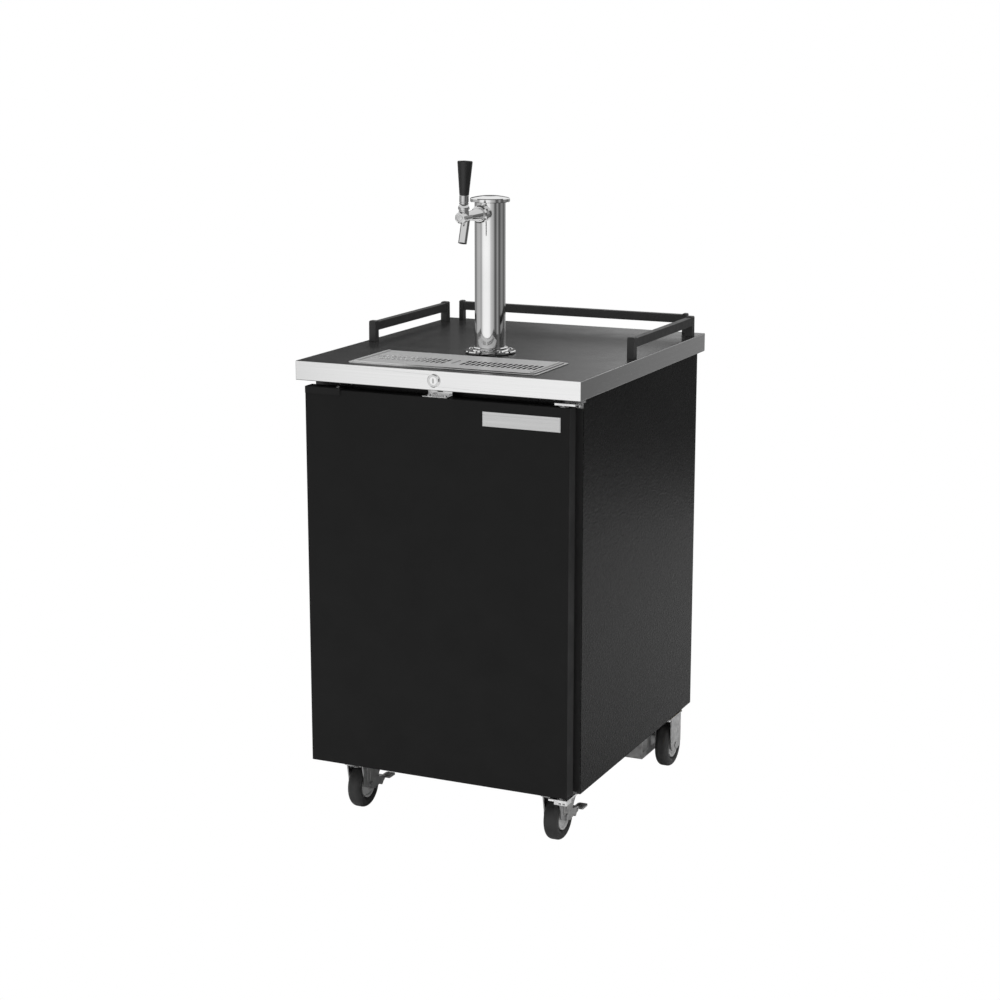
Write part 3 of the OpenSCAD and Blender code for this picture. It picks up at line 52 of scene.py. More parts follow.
def make_camera():
    """Upright camera at EYE that looks against VIEW_BACK."""
    back = VIEW_BACK.normalized()
    right = Vector((0, 0, 1)).cross(back).normalized()
    up = back.cross(right)
    data = bpy.data.cameras.new("camera")
    data.sensor_width = SENSOR_MM
    data.lens = LENS_MM
    data.clip_end = CLIP_END
    cam = bpy.data.objects.new("camera", data)
    turn = Matrix((right, up, back)).transposed().to_4x4()
    cam.matrix_world = Matrix.Translation(EYE) @ turn
    scene.collection.objects.link(cam)
    scene.camera = cam


make_camera()


# Material helpers

# Sockets of the colour mix node
MIX_FIRST = 6
MIX_SECOND = 7
MIX_RESULT = 2
# Part of a noise's range that a finish spreads over
NOISE_LOW = 0.3
NOISE_HIGH = 0.7


def grey(value, warm=0.0):
    """Grey as red, green and blue, a share warm redder than neutral."""
    return (value * (1 + warm), value, value * (1 - warm))


def set_ramp(ramp, stops):
    """Puts (place, level) stops, in rising order, on a colour ramp as grey levels."""
    elements = ramp.color_ramp.elements
    while len(elements) < len(stops):
        elements.new(0.5)
    for element, (place, level) in zip(elements, stops):
        element.position = place
        element.color = (level, level, level, 1.0)


class Finish:
    """A node material with one Principled shader. Textures read object coordinates, in metres."""

    def __init__(self, name, colour, rough, metal=0.0, **sockets):
        self.mat = bpy.data.materials.new(name)
        self.mat.use_nodes = True
        self.tree = self.mat.node_tree
        self.shader = self.tree.nodes["Principled BSDF"]
        self.set("Base Color", (*colour, 1.0))
        self.set("Roughness", rough)
        self.set("Metallic", metal)
        for key, value in sockets.items():
            self.set(key.replace("_", " "), value)
        self.coords = self.add("ShaderNodeTexCoord").outputs["Object"]
        self.last_bump = None

    def add(self, kind, **settings):
        node = self.tree.nodes.new(kind)
        for key, value in settings.items():
            setattr(node, key, value)
        return node

    def link(self, source, target):
        self.tree.links.new(source, target)

    def set(self, socket, value):
        self.shader.inputs[socket].default_value = value

    def stretched(self, scale):
        """Object coordinates multiplied by scale on each axis."""
        mapping = self.add("ShaderNodeMapping")
        mapping.inputs["Scale"].default_value = scale
        self.link(self.coords, mapping.inputs["Vector"])
        return mapping.outputs["Vector"]

    def axes(self):
        """Object coordinates as three sockets, X, Y and Z."""
        split = self.add("ShaderNodeSeparateXYZ")
        self.link(self.coords, split.inputs["Vector"])
        return split.outputs

    def noise(self, scale, detail, stretch=(1, 1, 1)):
        """Cloudy noise on object coordinates."""
        node = self.add("ShaderNodeTexNoise")
        node.inputs["Scale"].default_value = scale
        node.inputs["Detail"].default_value = detail
        self.link(self.stretched(stretch), node.inputs["Vector"])
        return node.outputs["Fac"]

    def cells(self, scale, feature="F1"):
        """Distance to the middle of the nearest cell."""
        node = self.add("ShaderNodeTexVoronoi", feature=feature)
        node.inputs["Scale"].default_value = scale
        self.link(self.coords, node.inputs["Vector"])
        return node.outputs["Distance"]

    def span(self, value, low, high, start, end):
        """value between start and end mapped to low and high."""
        node = self.add("ShaderNodeMapRange")
        node.inputs["From Min"].default_value = start
        node.inputs["From Max"].default_value = end
        node.inputs["To Min"].default_value = low
        node.inputs["To Max"].default_value = high
        self.link(value, node.inputs["Value"])
        return node.outputs["Result"]

    def level(self, value):
        """A constant grey."""
        node = self.add("ShaderNodeRGB")
        node.outputs[0].default_value = (*grey(value), 1.0)
        return node.outputs[0]

    def along(self, value, stops):
        """Grey level along value, from (place, level) stops between 0 and 1."""
        ramp = self.add("ShaderNodeValToRGB")
        set_ramp(ramp, stops)
        self.link(value, ramp.inputs["Fac"])
        return ramp.outputs["Color"]

    def roughen(self, value, low, high, start=NOISE_LOW, end=NOISE_HIGH):
        """Roughness from low to high along value."""
        self.link(self.span(value, low, high, start, end), self.shader.inputs["Roughness"])

    def tint(self, value, first, second, start=NOISE_LOW, end=NOISE_HIGH):
        """Base colour from first to second along value."""
        mix = self.add("ShaderNodeMix", data_type="RGBA")
        self.link(self.span(value, 0.0, 1.0, start, end), mix.inputs["Factor"])
        mix.inputs[MIX_FIRST].default_value = (*first, 1.0)
        mix.inputs[MIX_SECOND].default_value = (*second, 1.0)
        self.link(mix.outputs[MIX_RESULT], self.shader.inputs["Base Color"])

    def cover(self, share, colour):
        """colour laid over the base colour made before, where share is 1."""
        base = self.shader.inputs["Base Color"]
        mix = self.add("ShaderNodeMix", data_type="RGBA")
        self.link(share, mix.inputs["Factor"])
        self.link(base.links[0].from_socket, mix.inputs[MIX_FIRST])
        self.link(colour, mix.inputs[MIX_SECOND])
        self.link(mix.outputs[MIX_RESULT], base)

    def bump(self, value, strength, depth):
        """A bump on top of the bumps made before."""
        node = self.add("ShaderNodeBump")
        node.inputs["Strength"].default_value = strength
        node.inputs["Distance"].default_value = depth
        self.link(value, node.inputs["Height"])
        if self.last_bump is not None:
            self.link(self.last_bump.outputs["Normal"], node.inputs["Normal"])
        self.last_bump = node
        self.link(node.outputs["Normal"], self.shader.inputs["Normal"])


# Finishes

# Scale of the mottling in brushed metal against its streaks
COARSE_SHARE = 0.35
# Painted shade along a lower fold, which dims its reflection there: the heights above it where the
# shade is full and where it has faded out, and its level
FOLD_FULL = 0.0006
FOLD_NONE = 0.0014
FOLD_SHADE_LEVEL = 0.06
# Drip steel: painted light and shade across the tray, bright at its left and dark at its right end,
# and the depths below the top where they are full and where they have faded out
TRAY_HALF = 0.2
TRAY_PAINTED_LIGHT = ((0.0, 0.95), (0.27, 0.92), (0.37, 0.22), (0.5, 0.16), (0.53, 0.012), (1.0, 0.012))
TRAY_FULL = 0.0004
TRAY_NONE = 0.0001
# From the grid's highest point down to the top that its drip steel takes, below which its painted
# light and shade lie
GRID_DROP = 0.002
# Key slot: painted shade inside it, the depths where it begins and where it is full, and its level
SLOT_NONE = 0.0003
SLOT_FULL = 0.0006
SLOT_SHADE_LEVEL = 0.03


def vinyl():
    """Leather-grain vinyl on the cabinet's steel: shallow pebbles with glossy tops."""
    f = Finish("vinyl", grey(0.006), 0.26, Specular_IOR_Level=0.034)
    f.bump(f.cells(240.0, "SMOOTH_F1"), 0.4, 0.0012)
    f.bump(f.noise(620.0, 2.0), 0.1, 0.0005)
    f.roughen(f.noise(420.0, 3.0), 0.2, 0.34)
    f.tint(f.noise(9.0, 3.0), grey(0.005), grey(0.007))
    return f.mat


def enamel(name, value, rough):
    """Black enamelled sheet with a faint orange peel."""
    f = Finish(name, grey(value), rough, Specular_IOR_Level=0.13)
    f.bump(f.noise(420.0, 2.0), 0.06, 0.0004)
    f.roughen(f.noise(14.0, 4.0), rough - 0.05, rough + 0.07)
    f.tint(f.noise(5.0, 2.0), grey(value * 0.96), grey(value * 1.04))
    return f.mat


def powder(name, value, rough):
    """Powder-coated tube."""
    f = Finish(name, grey(value), rough, Specular_IOR_Level=0.55)
    f.bump(f.noise(1100.0, 2.0), 0.2, 0.0003)
    f.roughen(f.noise(60.0, 3.0), rough - 0.06, rough + 0.08)
    f.tint(f.noise(25.0, 3.0), grey(value * 0.85), grey(value * 1.2))
    return f.mat


def laminate():
    """Satin black laminate of the worktop."""
    f = Finish("laminate", grey(0.012), 0.22, Specular_IOR_Level=0.5)
    f.bump(f.noise(1500.0, 2.0), 0.04, 0.0002)
    f.roughen(f.noise(22.0, 5.0), 0.2, 0.26)
    f.tint(f.noise(700.0, 2.0), grey(0.010), grey(0.015))
    return f.mat


def brushed(name, value, rough, stretch, spread=0.06, metal=1.0, mottle=0.06, cut=0.05, fold=None):
    """Brushed metal: fine streaks along the axes with a small stretch. fold is the height of a
    lower fold, along which painted shade darkens the metal."""
    f = Finish(name, grey(value, 0.006), rough, metal)
    streaks = f.noise(1.0, 3.0, stretch)
    f.roughen(streaks, rough - spread, rough + spread)
    coarse = f.noise(1.0, 2.0, tuple(s * COARSE_SHARE for s in stretch))
    f.tint(coarse, grey(value * (1 - mottle)), grey(value * (1 + mottle)))
    if fold is not None:
        # Painted shade: the metal is darkened along the lower fold to dim its reflection there
        fold_shade = f.span(f.axes()["Z"], 1.0, 0.0, fold + FOLD_FULL, fold + FOLD_NONE)
        f.cover(fold_shade, f.level(FOLD_SHADE_LEVEL))
    f.bump(streaks, cut, 0.0003)
    return f.mat


def drip_steel(name, top):
    """Satin steel of the drip tray and its grid. What lies below top has painted light on the left
    and painted shade on the right."""
    f = Finish(name, grey(0.40), 0.4, 0.4)
    streaks = f.noise(1.0, 3.0, (4.0, 700.0, 700.0))
    f.roughen(streaks, 0.34, 0.46)
    f.tint(f.noise(1.0, 2.0, (1.4, 245.0, 245.0)), grey(0.375), grey(0.425))
    axes = f.axes()
    across = f.span(axes["X"], 0.0, 1.0, -TRAY_HALF, TRAY_HALF)
    painted_below = f.span(axes["Z"], 1.0, 0.0, top - TRAY_FULL, top - TRAY_NONE)
    # Painted light and shade: below the top the steel is lit up on the left and darkened on the
    # right
    f.cover(painted_below, f.along(across, TRAY_PAINTED_LIGHT))
    return f.mat


def chrome(name, value, rough):
    """Polished chrome with faint wiping marks."""
    f = Finish(name, grey(value), rough, 1.0)
    f.roughen(f.noise(18.0, 5.0, (1, 1, 0.35)), rough * 0.7, rough * 1.7)
    f.tint(f.noise(11.0, 3.0), grey(value * 0.965), grey(value * 1.025))
    return f.mat


def key_plug(front):
    """Chromed key plug with its face at front, with painted shade inside its slot."""
    f = Finish("key_plug", grey(0.86), 0.06, 1.0)
    f.tint(f.noise(300.0, 3.0), grey(0.83), grey(0.88))
    slot_shade = f.span(f.axes()["Y"], 0.0, 1.0, front + SLOT_NONE, front + SLOT_FULL)
    # Painted shade: the chrome is darkened inside the key slot
    f.cover(slot_shade, f.level(SLOT_SHADE_LEVEL))
    return f.mat


def zinc(name, value, rough):
    """Zinc-plated pressed steel with mottled plating."""
    f = Finish(name, grey(value), rough, 0.92)
    f.tint(f.noise(70.0, 4.0), grey(value * 0.8), grey(value * 1.15))
    f.roughen(f.noise(130.0, 4.0), rough - 0.09, rough + 0.1)
    f.bump(f.noise(500.0, 3.0), 0.06, 0.0003)
    return f.mat


def galvanised():
    """Galvanised sheet with its spangle."""
    f = Finish("galvanised", grey(0.36), 0.48, 0.7)
    spangle = f.cells(75.0)
    f.tint(spangle, grey(0.28), grey(0.44), 0.1, 0.75)
    f.roughen(spangle, 0.38, 0.58)
    return f.mat


def rubber(name, value, rough):
    """Matt black rubber."""
    f = Finish(name, grey(value), rough, Specular_IOR_Level=0.35)
    f.bump(f.noise(700.0, 3.0), 0.18, 0.0004)
    f.tint(f.noise(45.0, 4.0), grey(value * 0.8), grey(value * 1.4))
    f.roughen(f.noise(90.0, 3.0), rough - 0.08, rough + 0.08)
    return f.mat


def plastic(name, value, rough):
    """Moulded plastic with a fine spark-eroded skin."""
    f = Finish(name, grey(value), rough, Specular_IOR_Level=0.5)
    f.bump(f.noise(1300.0, 2.0), 0.12, 0.0003)
    f.roughen(f.noise(35.0, 3.0), rough - 0.05, rough + 0.06)
    f.tint(f.noise(18.0, 3.0), grey(value * 0.97), grey(value * 1.03))
    return f.mat


def foam():
    """Yellow insulating foam with open pores."""
    f = Finish("foam", (0.78, 0.66, 0.38), 0.85)
    f.bump(f.cells(420.0), 0.6, 0.001)
    f.tint(f.noise(30.0, 4.0), (0.70, 0.57, 0.31), (0.84, 0.74, 0.46))
    return f.mat


VINYL = vinyl()
DOOR = enamel("door_enamel", 0.0068, 0.55)
CORNER = enamel("corner_plastic", 0.010, 0.55)
MACHINE = enamel("machine_enamel", 0.02, 0.42)
TUBE = powder("tube_coat", 0.015, 0.46)
TOP = laminate()
# The band gets painted shade along its lower fold
BAND = brushed("band_steel", 0.84, 0.17, (3.0, 3.0, 1400.0), 0.03, 1.0, 0.02, 0.015,
               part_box("worktop_trim")[0].z)
TRAY = brushed("tray_steel", 0.45, 0.34, (4.0, 700.0, 700.0), 0.06, 0.4)
BASIN = drip_steel("basin_steel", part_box("drip_tray")[1].z)
GRID = drip_steel("grid_steel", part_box("drip_grid")[1].z - GRID_DROP)
CHROME = chrome("chrome", 0.86, 0.045)
FAUCET = chrome("faucet_chrome", 0.66, 0.06)
PLUG = key_plug(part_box("lock_plug")[0].y)
ZINC = zinc("zinc_plate", 0.34, 0.36)
BRIGHT_ZINC = zinc("bright_zinc", 0.72, 0.24)
GALVANISED = galvanised()
TYRE = rubber("tyre_rubber", 0.022, 0.55)
SEAL = rubber("seal_rubber", 0.007, 0.68)
BLACK = plastic("black_plastic", 0.010, 0.42)
HANDLE = plastic("handle_plastic", 0.008, 0.34)
HUB = plastic("hub_plastic", 0.46, 0.5)
LINER = plastic("liner_plastic", 0.62, 0.4)
NYLON = plastic("nylon", 0.72, 0.45)
FINS = brushed("fin_aluminium", 0.56, 0.34, (300.0, 4.0, 300.0))
FOAM = foam()
PLATE = brushed("plate_aluminium", 0.57, 0.32, (5.0, 5.0, 1100.0), 0.08)

FINISHES = {
    "outer_case": VINYL, "foam_insulation": FOAM, "inner_liner": LINER, "breaker_frame": BLACK,
    "base_plate": GALVANISED, "worktop_panel": TOP, "worktop_trim": BAND,
    "rail_left": TUBE, "rail_right": TUBE, "rail_back": TUBE,
    "drip_tray": BASIN, "drip_grid": GRID,
    "tower_column": CHROME, "tower_flange": CHROME, "tower_gasket": SEAL,
    "tower_screws": CHROME, "tower_cap": CHROME, "faucet_shank": FAUCET, "shank_nuts": FAUCET,
    "beer_elbow": TRAY, "faucet_body": FAUCET, "faucet_bonnet": FAUCET, "faucet_shaft": TRAY,
    "faucet_lever": FAUCET, "tap_handle": HANDLE, "lock_barrel": FAUCET, "lock_plug": PLUG,
    "hinge_brackets": BRIGHT_ZINC, "door_pan": DOOR, "door_foam": FOAM, "door_liner": LINER,
    "door_gasket": SEAL, "door_corner_cap": CORNER, "door_bushes": NYLON,
    "door_strike": BRIGHT_ZINC, "caster_plates": BRIGHT_ZINC,
    "caster_fork_left": ZINC, "caster_fork_right": ZINC,
    "caster_tyre_left": TYRE, "caster_tyre_right": TYRE,
    "caster_hub_left": HUB, "caster_hub_right": HUB,
    "brake_pedal_left": ZINC, "brake_pedal_right": ZINC,
    "rear_forks": ZINC, "rear_tyre_left": TYRE, "rear_tyre_right": TYRE,
    "rear_hub_left": HUB, "rear_hub_right": HUB,
    "base_pan": GALVANISED, "compressor": MACHINE, "condenser": FINS,
    "condenser_motor": MACHINE, "condenser_fan": BLACK, "rear_grille": MACHINE,
    "evaporator_cover": LINER, "evaporator_coil": FINS, "evaporator_fan": BLACK,
    "thermostat_knob": BLACK, "power_gland": BLACK,
}

# Rounding of the visible edges, in metres
EDGES = {
    "worktop_trim": 0.0012, "worktop_panel": 0.0004, "door_pan": 0.0012, "outer_case": 0.0008,
    "rail_left": 0.0009, "rail_right": 0.0009, "rail_back": 0.0009,
    "drip_tray": 0.0005, "drip_grid": 0.0004, "door_corner_cap": 0.0006,
    "hinge_brackets": 0.0005, "door_strike": 0.0004, "rear_forks": 0.0006,
    "caster_fork_left": 0.0006, "caster_fork_right": 0.0006, "caster_plates": 0.0005,
    "brake_pedal_left": 0.0005, "brake_pedal_right": 0.0005, "base_pan": 0.0005,
    "evaporator_cover": 0.0006, "door_liner": 0.002, "thermostat_knob": 0.0005,
}
WELD_GAP = 0.00001
SHARP_DEGREES = 35
NORMAL_WEIGHT = 80


def soften(obj, width):
    """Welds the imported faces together, rounds the sharp edges and evens the normals."""
    weld = obj.modifiers.new("weld", "WELD")
    weld.merge_threshold = WELD_GAP
    edge = obj.modifiers.new("edge", "BEVEL")
    edge.width = width
    edge.segments = 2
    edge.limit_method = "ANGLE"
    edge.angle_limit = math.radians(SHARP_DEGREES)
    edge.use_clamp_overlap = True
    normals = obj.modifiers.new("normals", "WEIGHTED_NORMAL")
    normals.weight = NORMAL_WEIGHT


def dress_nodes():
    """Gives every node its finish and the listed ones rounded edges."""
    for name, obj in nodes.items():
        obj.data.materials.clear()
        obj.data.materials.append(FINISHES[name])
        if name in EDGES:
            soften(obj, EDGES[name])


dress_nodes()


# Small pieces that the frame leaves to this script

def new_object(name, mesh):
    """Object in the scene from a bmesh, which is freed."""
    data = bpy.data.meshes.new(name)
    mesh.to_mesh(data)
    mesh.free()
    obj = bpy.data.objects.new(name, data)
    scene.collection.objects.link(obj)
    return obj


def add_piece(name, mesh, finish, body, place=None):
    """Piece that rides on a body of the frame."""
    mesh.normal_update()
    obj = new_object(name, mesh)
    obj.data.materials.append(finish)
    if place is not None:
        obj.matrix_world = place
    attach(obj, body)
    return obj


def facing(centre, normal):
    """Matrix that puts a piece's +Z along normal at centre."""
    turn = Vector((0, 0, 1)).rotation_difference(Vector(normal)).to_matrix().to_4x4()
    return Matrix.Translation(Vector(centre)) @ turn


SCREW_SIDES = 24
SCREW_RINGS = 7
# How far a screw's skirt reaches under its seat
SCREW_SINK = 0.0002
# Sizes of a screw's head as shares of its radius
HEAD_HEIGHT = 0.55
HEAD_CROWN = 0.9
RECESS_HALF = 0.17
RECESS_DEPTH = 0.3
RECESS_REACH = 0.68


def screw(name, centre, normal, radius, body):
    """Pan-head screw with a cross recess, its seat at centre."""
    mesh = bmesh.new()
    height = radius * HEAD_HEIGHT
    half = radius * RECESS_HALF
    depth = radius * RECESS_DEPTH
    tip = mesh.verts.new((0, 0, height - depth))
    rows = []
    for i in range(1, SCREW_RINGS + 1):
        r = radius * i / SCREW_RINGS
        row = []
        for k in range(SCREW_SIDES):
            a = math.tau * k / SCREW_SIDES
            x = r * math.cos(a)
            y = r * math.sin(a)
            z = height * math.sqrt(1 - (HEAD_CROWN * r / radius) ** 2)
            if min(abs(x), abs(y)) < half and r < radius * RECESS_REACH:
                z -= depth
            row.append(mesh.verts.new((x, y, z)))
        rows.append(row)
    rows.append([mesh.verts.new((v.co.x, v.co.y, -SCREW_SINK)) for v in rows[-1]])
    for k in range(SCREW_SIDES):
        mesh.faces.new((tip, rows[0][k], rows[0][(k + 1) % SCREW_SIDES]))
    for inner, outer in zip(rows, rows[1:]):
        for k in range(SCREW_SIDES):
            n = (k + 1) % SCREW_SIDES
            mesh.faces.new((inner[k], outer[k], outer[n], inner[n]))
    add_piece(name, mesh, BRIGHT_ZINC, body, facing(centre, normal))


# The bare plate's left and right edge, and its lower and upper one
PLATE_X = (0.1040, 0.2657)
PLATE_Z = (0.8520, 0.8805)
# Its pressed border from the rim inwards: the inset, and how far it stands off the door
PLATE_BORDER = ((0.0, 0.0), (0.0, 0.0009), (0.0004, 0.0012),
                (0.0014, 0.0012), (0.0019, 0.0009), (0.0024, 0.0009))
PLATE_EDGE = 0.0002


def nameplate():
    """Bare brushed plate on the door, with a pressed border."""
    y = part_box("door_pan")[0].y
    mesh = bmesh.new()
    loops = []
    for inset, proud in PLATE_BORDER:
        left = PLATE_X[0] + inset
        right = PLATE_X[1] - inset
        bottom = PLATE_Z[0] + inset
        top = PLATE_Z[1] - inset
        corners = ((left, bottom), (right, bottom), (right, top), (left, top))
        loops.append([mesh.verts.new((x, y - proud, z)) for x, z in corners])
    for low, high in zip(loops, loops[1:]):
        for k in range(4):
            n = (k + 1) % 4
            mesh.faces.new((low[k], low[n], high[n], high[k]))
    mesh.faces.new(loops[-1])
    plate = add_piece("nameplate_bare", mesh, PLATE, "door")
    edge = plate.modifiers.new("edge", "BEVEL")
    edge.width = PLATE_EDGE
    edge.segments = 2


nameplate()


# Directions that screws face
FORWARD = (0, -1, 0)
BACKWARD = (0, 1, 0)
UPWARD = (0, 0, 1)
# Radii of the screw heads
FRAME_SCREW = 0.0042
CAP_SCREW = 0.0038
HINGE_SCREW = 0.0036
PANEL_SCREW = 0.0042
# Places of the screws
FRAME_SCREWS_X = (0.200, 0.229, -0.208, -0.231)
FRAME_SCREWS_Z = 0.9045
CAP_SCREW_INSET = 0.012
HINGE_SCREWS_X = (0.262, 0.280)
HINGE_SCREWS_Z = 0.896
HINGE_LEAF = 0.0025
PANEL_INSET = 0.006
PANEL_FOOT_INSET = 0.012


def front_screws():
    """Screws in the frame over the door, on the corner cap and on the upper hinge."""
    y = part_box("breaker_frame")[0].y
    for i, x in enumerate(FRAME_SCREWS_X):
        screw("frame_screw_%d" % i, (x, y, FRAME_SCREWS_Z), FORWARD, FRAME_SCREW, "cabinet")
    low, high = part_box("door_corner_cap")
    spot = (high.x - CAP_SCREW_INSET, (low.y + high.y) / 2, high.z)
    screw("cap_screw", spot, UPWARD, CAP_SCREW, "door")
    for i, x in enumerate(HINGE_SCREWS_X):
        spot = (x, y - HINGE_LEAF, HINGE_SCREWS_Z)
        screw("hinge_screw_%d" % i, spot, FORWARD, HINGE_SCREW, "cabinet")


front_screws()


def rear_screws():
    """Screws round the access panel."""
    low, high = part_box("rear_grille")
    left = low.x + PANEL_INSET
    right = high.x - PANEL_INSET
    bottom = low.z + PANEL_FOOT_INSET
    top = high.z - PANEL_INSET
    middle = (low.z + high.z) / 2
    spots = [(x, z) for x in (left, 0.0, right) for z in (bottom, top)]
    spots += [(left, middle), (right, middle)]
    for i, (x, z) in enumerate(spots):
        screw("panel_screw_%d" % i, (x, high.y, z), BACKWARD, PANEL_SCREW, "cabinet")


rear_screws()


# Studio

# Strength of the white sky as light on the object, in reflections, and to the camera
SKY_LIGHT = 0.55
SKY_MIRRORED = 0.9
SKY_SEEN = 1.0


def emission(tree, strength):
    """White glow."""
    node = tree.nodes.new("ShaderNodeEmission")
    node.inputs["Color"].default_value = (1, 1, 1, 1)
    node.inputs["Strength"].default_value = strength
    return node


def sky(tree, strength):
    """White background."""
    node = tree.nodes.new("ShaderNodeBackground")
    node.inputs["Color"].default_value = (1, 1, 1, 1)
    node.inputs["Strength"].default_value = strength
    return node.outputs[0]


def seen_by(tree, *rays):
    """1 for the named kinds of ray, 0 for the rest."""
    path = tree.nodes.new("ShaderNodeLightPath")
    total = path.outputs[rays[0]]
    for ray in rays[1:]:
        both = tree.nodes.new("ShaderNodeMath")
        both.operation = "MAXIMUM"
        tree.links.new(total, both.inputs[0])
        tree.links.new(path.outputs[ray], both.inputs[1])
        total = both.outputs[0]
    return total


def mix_shaders(tree, share, first, second):
    """first where share is 0, second where it is 1."""
    mix = tree.nodes.new("ShaderNodeMixShader")
    tree.links.new(share, mix.inputs[0])
    tree.links.new(first, mix.inputs[1])
    tree.links.new(second, mix.inputs[2])
    return mix.outputs[0]


def make_world():
    """White behind the object, softer light on it, and a grey sky in reflections."""
    world = bpy.data.worlds.new("studio")
    world.use_nodes = True
    tree = world.node_tree
    mirrored = seen_by(tree, "Is Glossy Ray")
    unseen = mix_shaders(tree, mirrored, sky(tree, SKY_LIGHT), sky(tree, SKY_MIRRORED))
    sight = seen_by(tree, "Is Camera Ray", "Is Transmission Ray")
    shown = mix_shaders(tree, sight, unseen, sky(tree, SKY_SEEN))
    tree.links.new(shown, tree.nodes["World Output"].inputs["Surface"])
    scene.world = world


make_world()


FLOOR_SIZE = 60.0
FLOOR_LEVEL = 0.93
FLOOR_ROUGH = 0.9
FLOOR_SPECULAR = 0.1
# In reflections the floor is shaded up to the first distance from its middle, and white from the
# second one on
FLOOR_SHADED = 0.45
FLOOR_WHITE = 1.6


def make_floor():
    """White floor; reflections see it shaded near the object."""
    mesh = bmesh.new()
    bmesh.ops.create_grid(mesh, x_segments=2, y_segments=2, size=FLOOR_SIZE)
    floor = new_object("floor", mesh)
    mat = bpy.data.materials.new("floor")
    mat.use_nodes = True
    tree = mat.node_tree
    shader = tree.nodes["Principled BSDF"]
    shader.inputs["Base Color"].default_value = (*grey(FLOOR_LEVEL), 1)
    shader.inputs["Roughness"].default_value = FLOOR_ROUGH
    shader.inputs["Specular IOR Level"].default_value = FLOOR_SPECULAR
    white = emission(tree, 1.0).outputs[0]
    coords = tree.nodes.new("ShaderNodeTexCoord")
    reach = tree.nodes.new("ShaderNodeVectorMath")
    reach.operation = "LENGTH"
    tree.links.new(coords.outputs["Object"], reach.inputs[0])
    fade = tree.nodes.new("ShaderNodeMapRange")
    fade.interpolation_type = "SMOOTHSTEP"
    fade.inputs["From Min"].default_value = FLOOR_SHADED
    fade.inputs["From Max"].default_value = FLOOR_WHITE
    tree.links.new(reach.outputs["Value"], fade.inputs["Value"])
    share = tree.nodes.new("ShaderNodeMath")
    share.operation = "MULTIPLY"
    tree.links.new(fade.outputs[0], share.inputs[0])
    tree.links.new(seen_by(tree, "Is Glossy Ray"), share.inputs[1])
    unseen = mix_shaders(tree, share.outputs[0], shader.outputs[0], white)
    sight = seen_by(tree, "Is Camera Ray", "Is Transmission Ray")
    shown = mix_shaders(tree, sight, unseen, white)
    tree.links.new(shown, tree.nodes["Material Output"].inputs["Surface"])
    floor.data.materials.append(mat)


make_floor()


def glow_in_reflections(obj, strength):
    """Gives obj a white glow that only reflections see. Returns its material's tree and the glow."""
    obj.visible_camera = False
    obj.visible_diffuse = False
    obj.visible_transmission = False
    obj.visible_volume_scatter = False
    obj.visible_shadow = False
    mat = bpy.data.materials.new(obj.name)
    mat.use_nodes = True
    tree = mat.node_tree
    tree.nodes.remove(tree.nodes["Principled BSDF"])
    glow = emission(tree, strength)
    tree.links.new(glow.outputs[0], tree.nodes["Material Output"].inputs["Surface"])
    obj.data.materials.append(mat)
    return tree, glow


WALL_SIDES = 96
WALL_RADIUS = 3.0
WALL_BOTTOM = 0.02
WALL_SPLIT = 1.05
WALL_TOP = 2.0


def ramp_place(heading):
    """Place of a heading on a radial gradient, between 0 and 1."""
    angle = math.radians(heading - 90)
    return (math.atan2(math.sin(angle), math.cos(angle)) / math.tau + 0.5) % 1.0


def make_surround(name, bottom, top, levels):
    """Round studio wall that only reflections see. levels: heading from the front towards the
    right in degrees, and the brightness there."""
    mesh = bmesh.new()
    low = []
    high = []
    for k in range(WALL_SIDES):
        a = math.tau * k / WALL_SIDES
        x = WALL_RADIUS * math.cos(a)
        y = WALL_RADIUS * math.sin(a)
        low.append(mesh.verts.new((x, y, bottom)))
        high.append(mesh.verts.new((x, y, top)))
    for k in range(WALL_SIDES):
        n = (k + 1) % WALL_SIDES
        mesh.faces.new((low[k], high[k], high[n], low[n]))
    wall = new_object(name, mesh)
    tree, glow = glow_in_reflections(wall, 1.0)
    coords = tree.nodes.new("ShaderNodeTexCoord")
    turn = tree.nodes.new("ShaderNodeTexGradient")
    turn.gradient_type = "RADIAL"
    tree.links.new(coords.outputs["Object"], turn.inputs["Vector"])
    ramp = tree.nodes.new("ShaderNodeValToRGB")
    ramp.color_ramp.interpolation = "EASE"
    set_ramp(ramp, sorted((ramp_place(heading), level) for heading, level in levels))
    tree.links.new(turn.outputs["Fac"], ramp.inputs["Fac"])
    tree.links.new(ramp.outputs["Color"], glow.inputs["Color"])


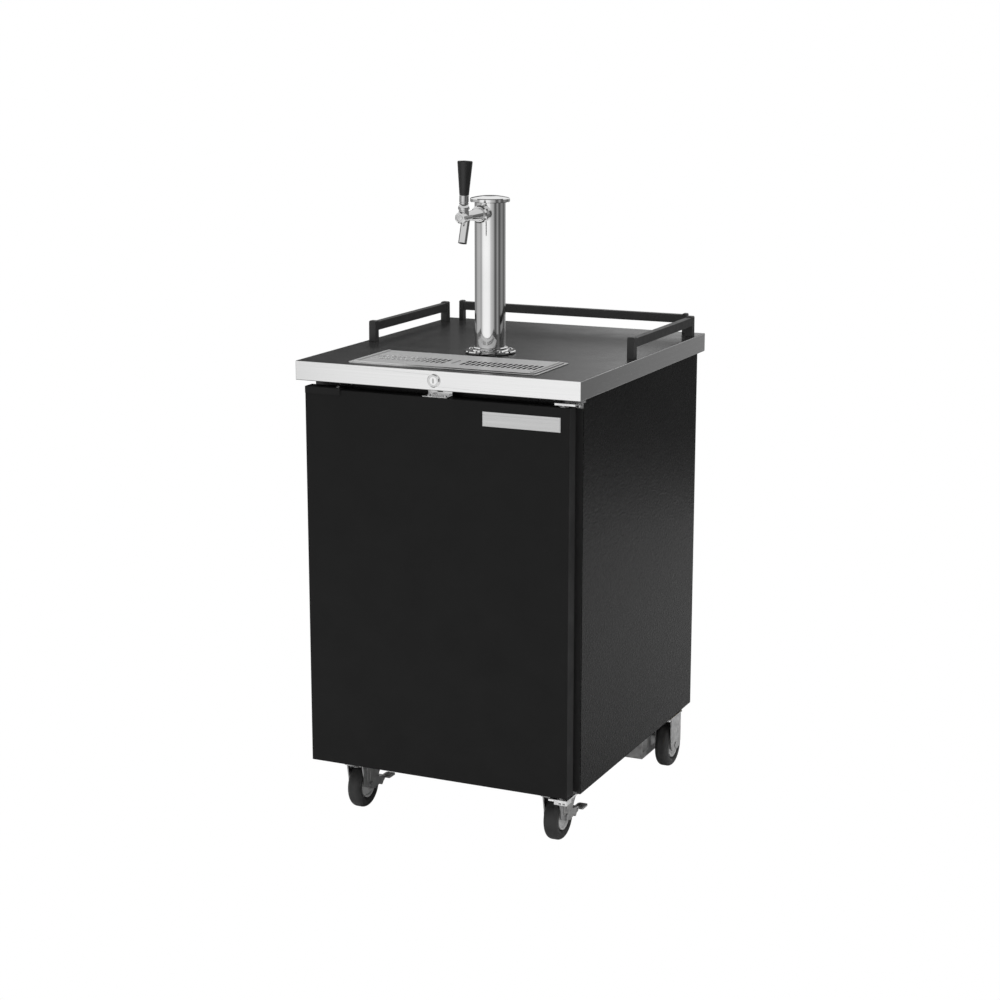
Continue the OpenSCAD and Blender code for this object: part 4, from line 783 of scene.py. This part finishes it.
# Low wall: what the column, the bands and the cabinet's side mirror
make_surround("surround_low", WALL_BOTTOM, WALL_SPLIT, (
    (-170, 0.30), (-155, 0.42), (-140, 0.22), (-114, 0.26), (-84, 0.45), (-62, 0.50), (-43, 0.40),
    (-28, 0.93), (-14, 1.0), (6, 1.0), (18, 0.95), (33, 0.56), (48, 0.42), (57, 0.16), (63, 0.08),
    (71, 0.18), (79, 0.34), (88, 0.16), (96, 0.07), (106, 0.16), (115, 0.25), (136, 0.18),
    (147, 0.085), (153, 0.18), (166, 0.30)))
# High wall: what the worktop and the upward faces of the tower mirror
make_surround("surround_high", WALL_SPLIT, WALL_TOP, (
    (-178, 0.86), (-170, 0.78), (-164, 0.60), (-160, 0.38), (-156, 0.18), (-150, 0.07),
    (-135, 0.06), (-110, 0.16), (-80, 0.40), (-50, 0.30), (-30, 0.80), (0, 0.95), (22, 0.60),
    (45, 0.20), (65, 0.07), (85, 0.25), (110, 0.08), (140, 0.20), (165, 0.50)))

CEILING_RADIUS = 1.7
CEILING_SIDES = 64
CEILING_HEIGHT = 3.2
CEILING_LEVEL = 0.1


def make_ceiling():
    """Dark ceiling that only reflections see."""
    mesh = bmesh.new()
    bmesh.ops.create_circle(mesh, cap_ends=True, radius=CEILING_RADIUS, segments=CEILING_SIDES)
    disc = new_object("ceiling", mesh)
    disc.location.z = CEILING_HEIGHT
    glow_in_reflections(disc, CEILING_LEVEL)


make_ceiling()


def softbox(name, place, target, size, power):
    """Rectangular lamp at place that lights target and doesn't show in reflections."""
    data = bpy.data.lights.new(name, "AREA")
    data.shape = "RECTANGLE"
    data.size, data.size_y = size
    data.energy = power
    lamp = bpy.data.objects.new(name, data)
    aim = (Vector(place) - Vector(target)).to_track_quat("Z", "Y").to_matrix().to_4x4()
    lamp.matrix_world = Matrix.Translation(Vector(place)) @ aim
    lamp.visible_glossy = False
    scene.collection.objects.link(lamp)


softbox("key", (-2.2, -2.6, 3.0), (0, 0, 0.6), (2.0, 2.0), 60.0)
softbox("fill", (3.0, -1.4, 2.2), (0, 0, 0.5), (1.6, 2.2), 30.0)
softbox("roof", (0.0, 0.4, 3.6), (0, 0, 0.9), (2.6, 2.6), 50.0)
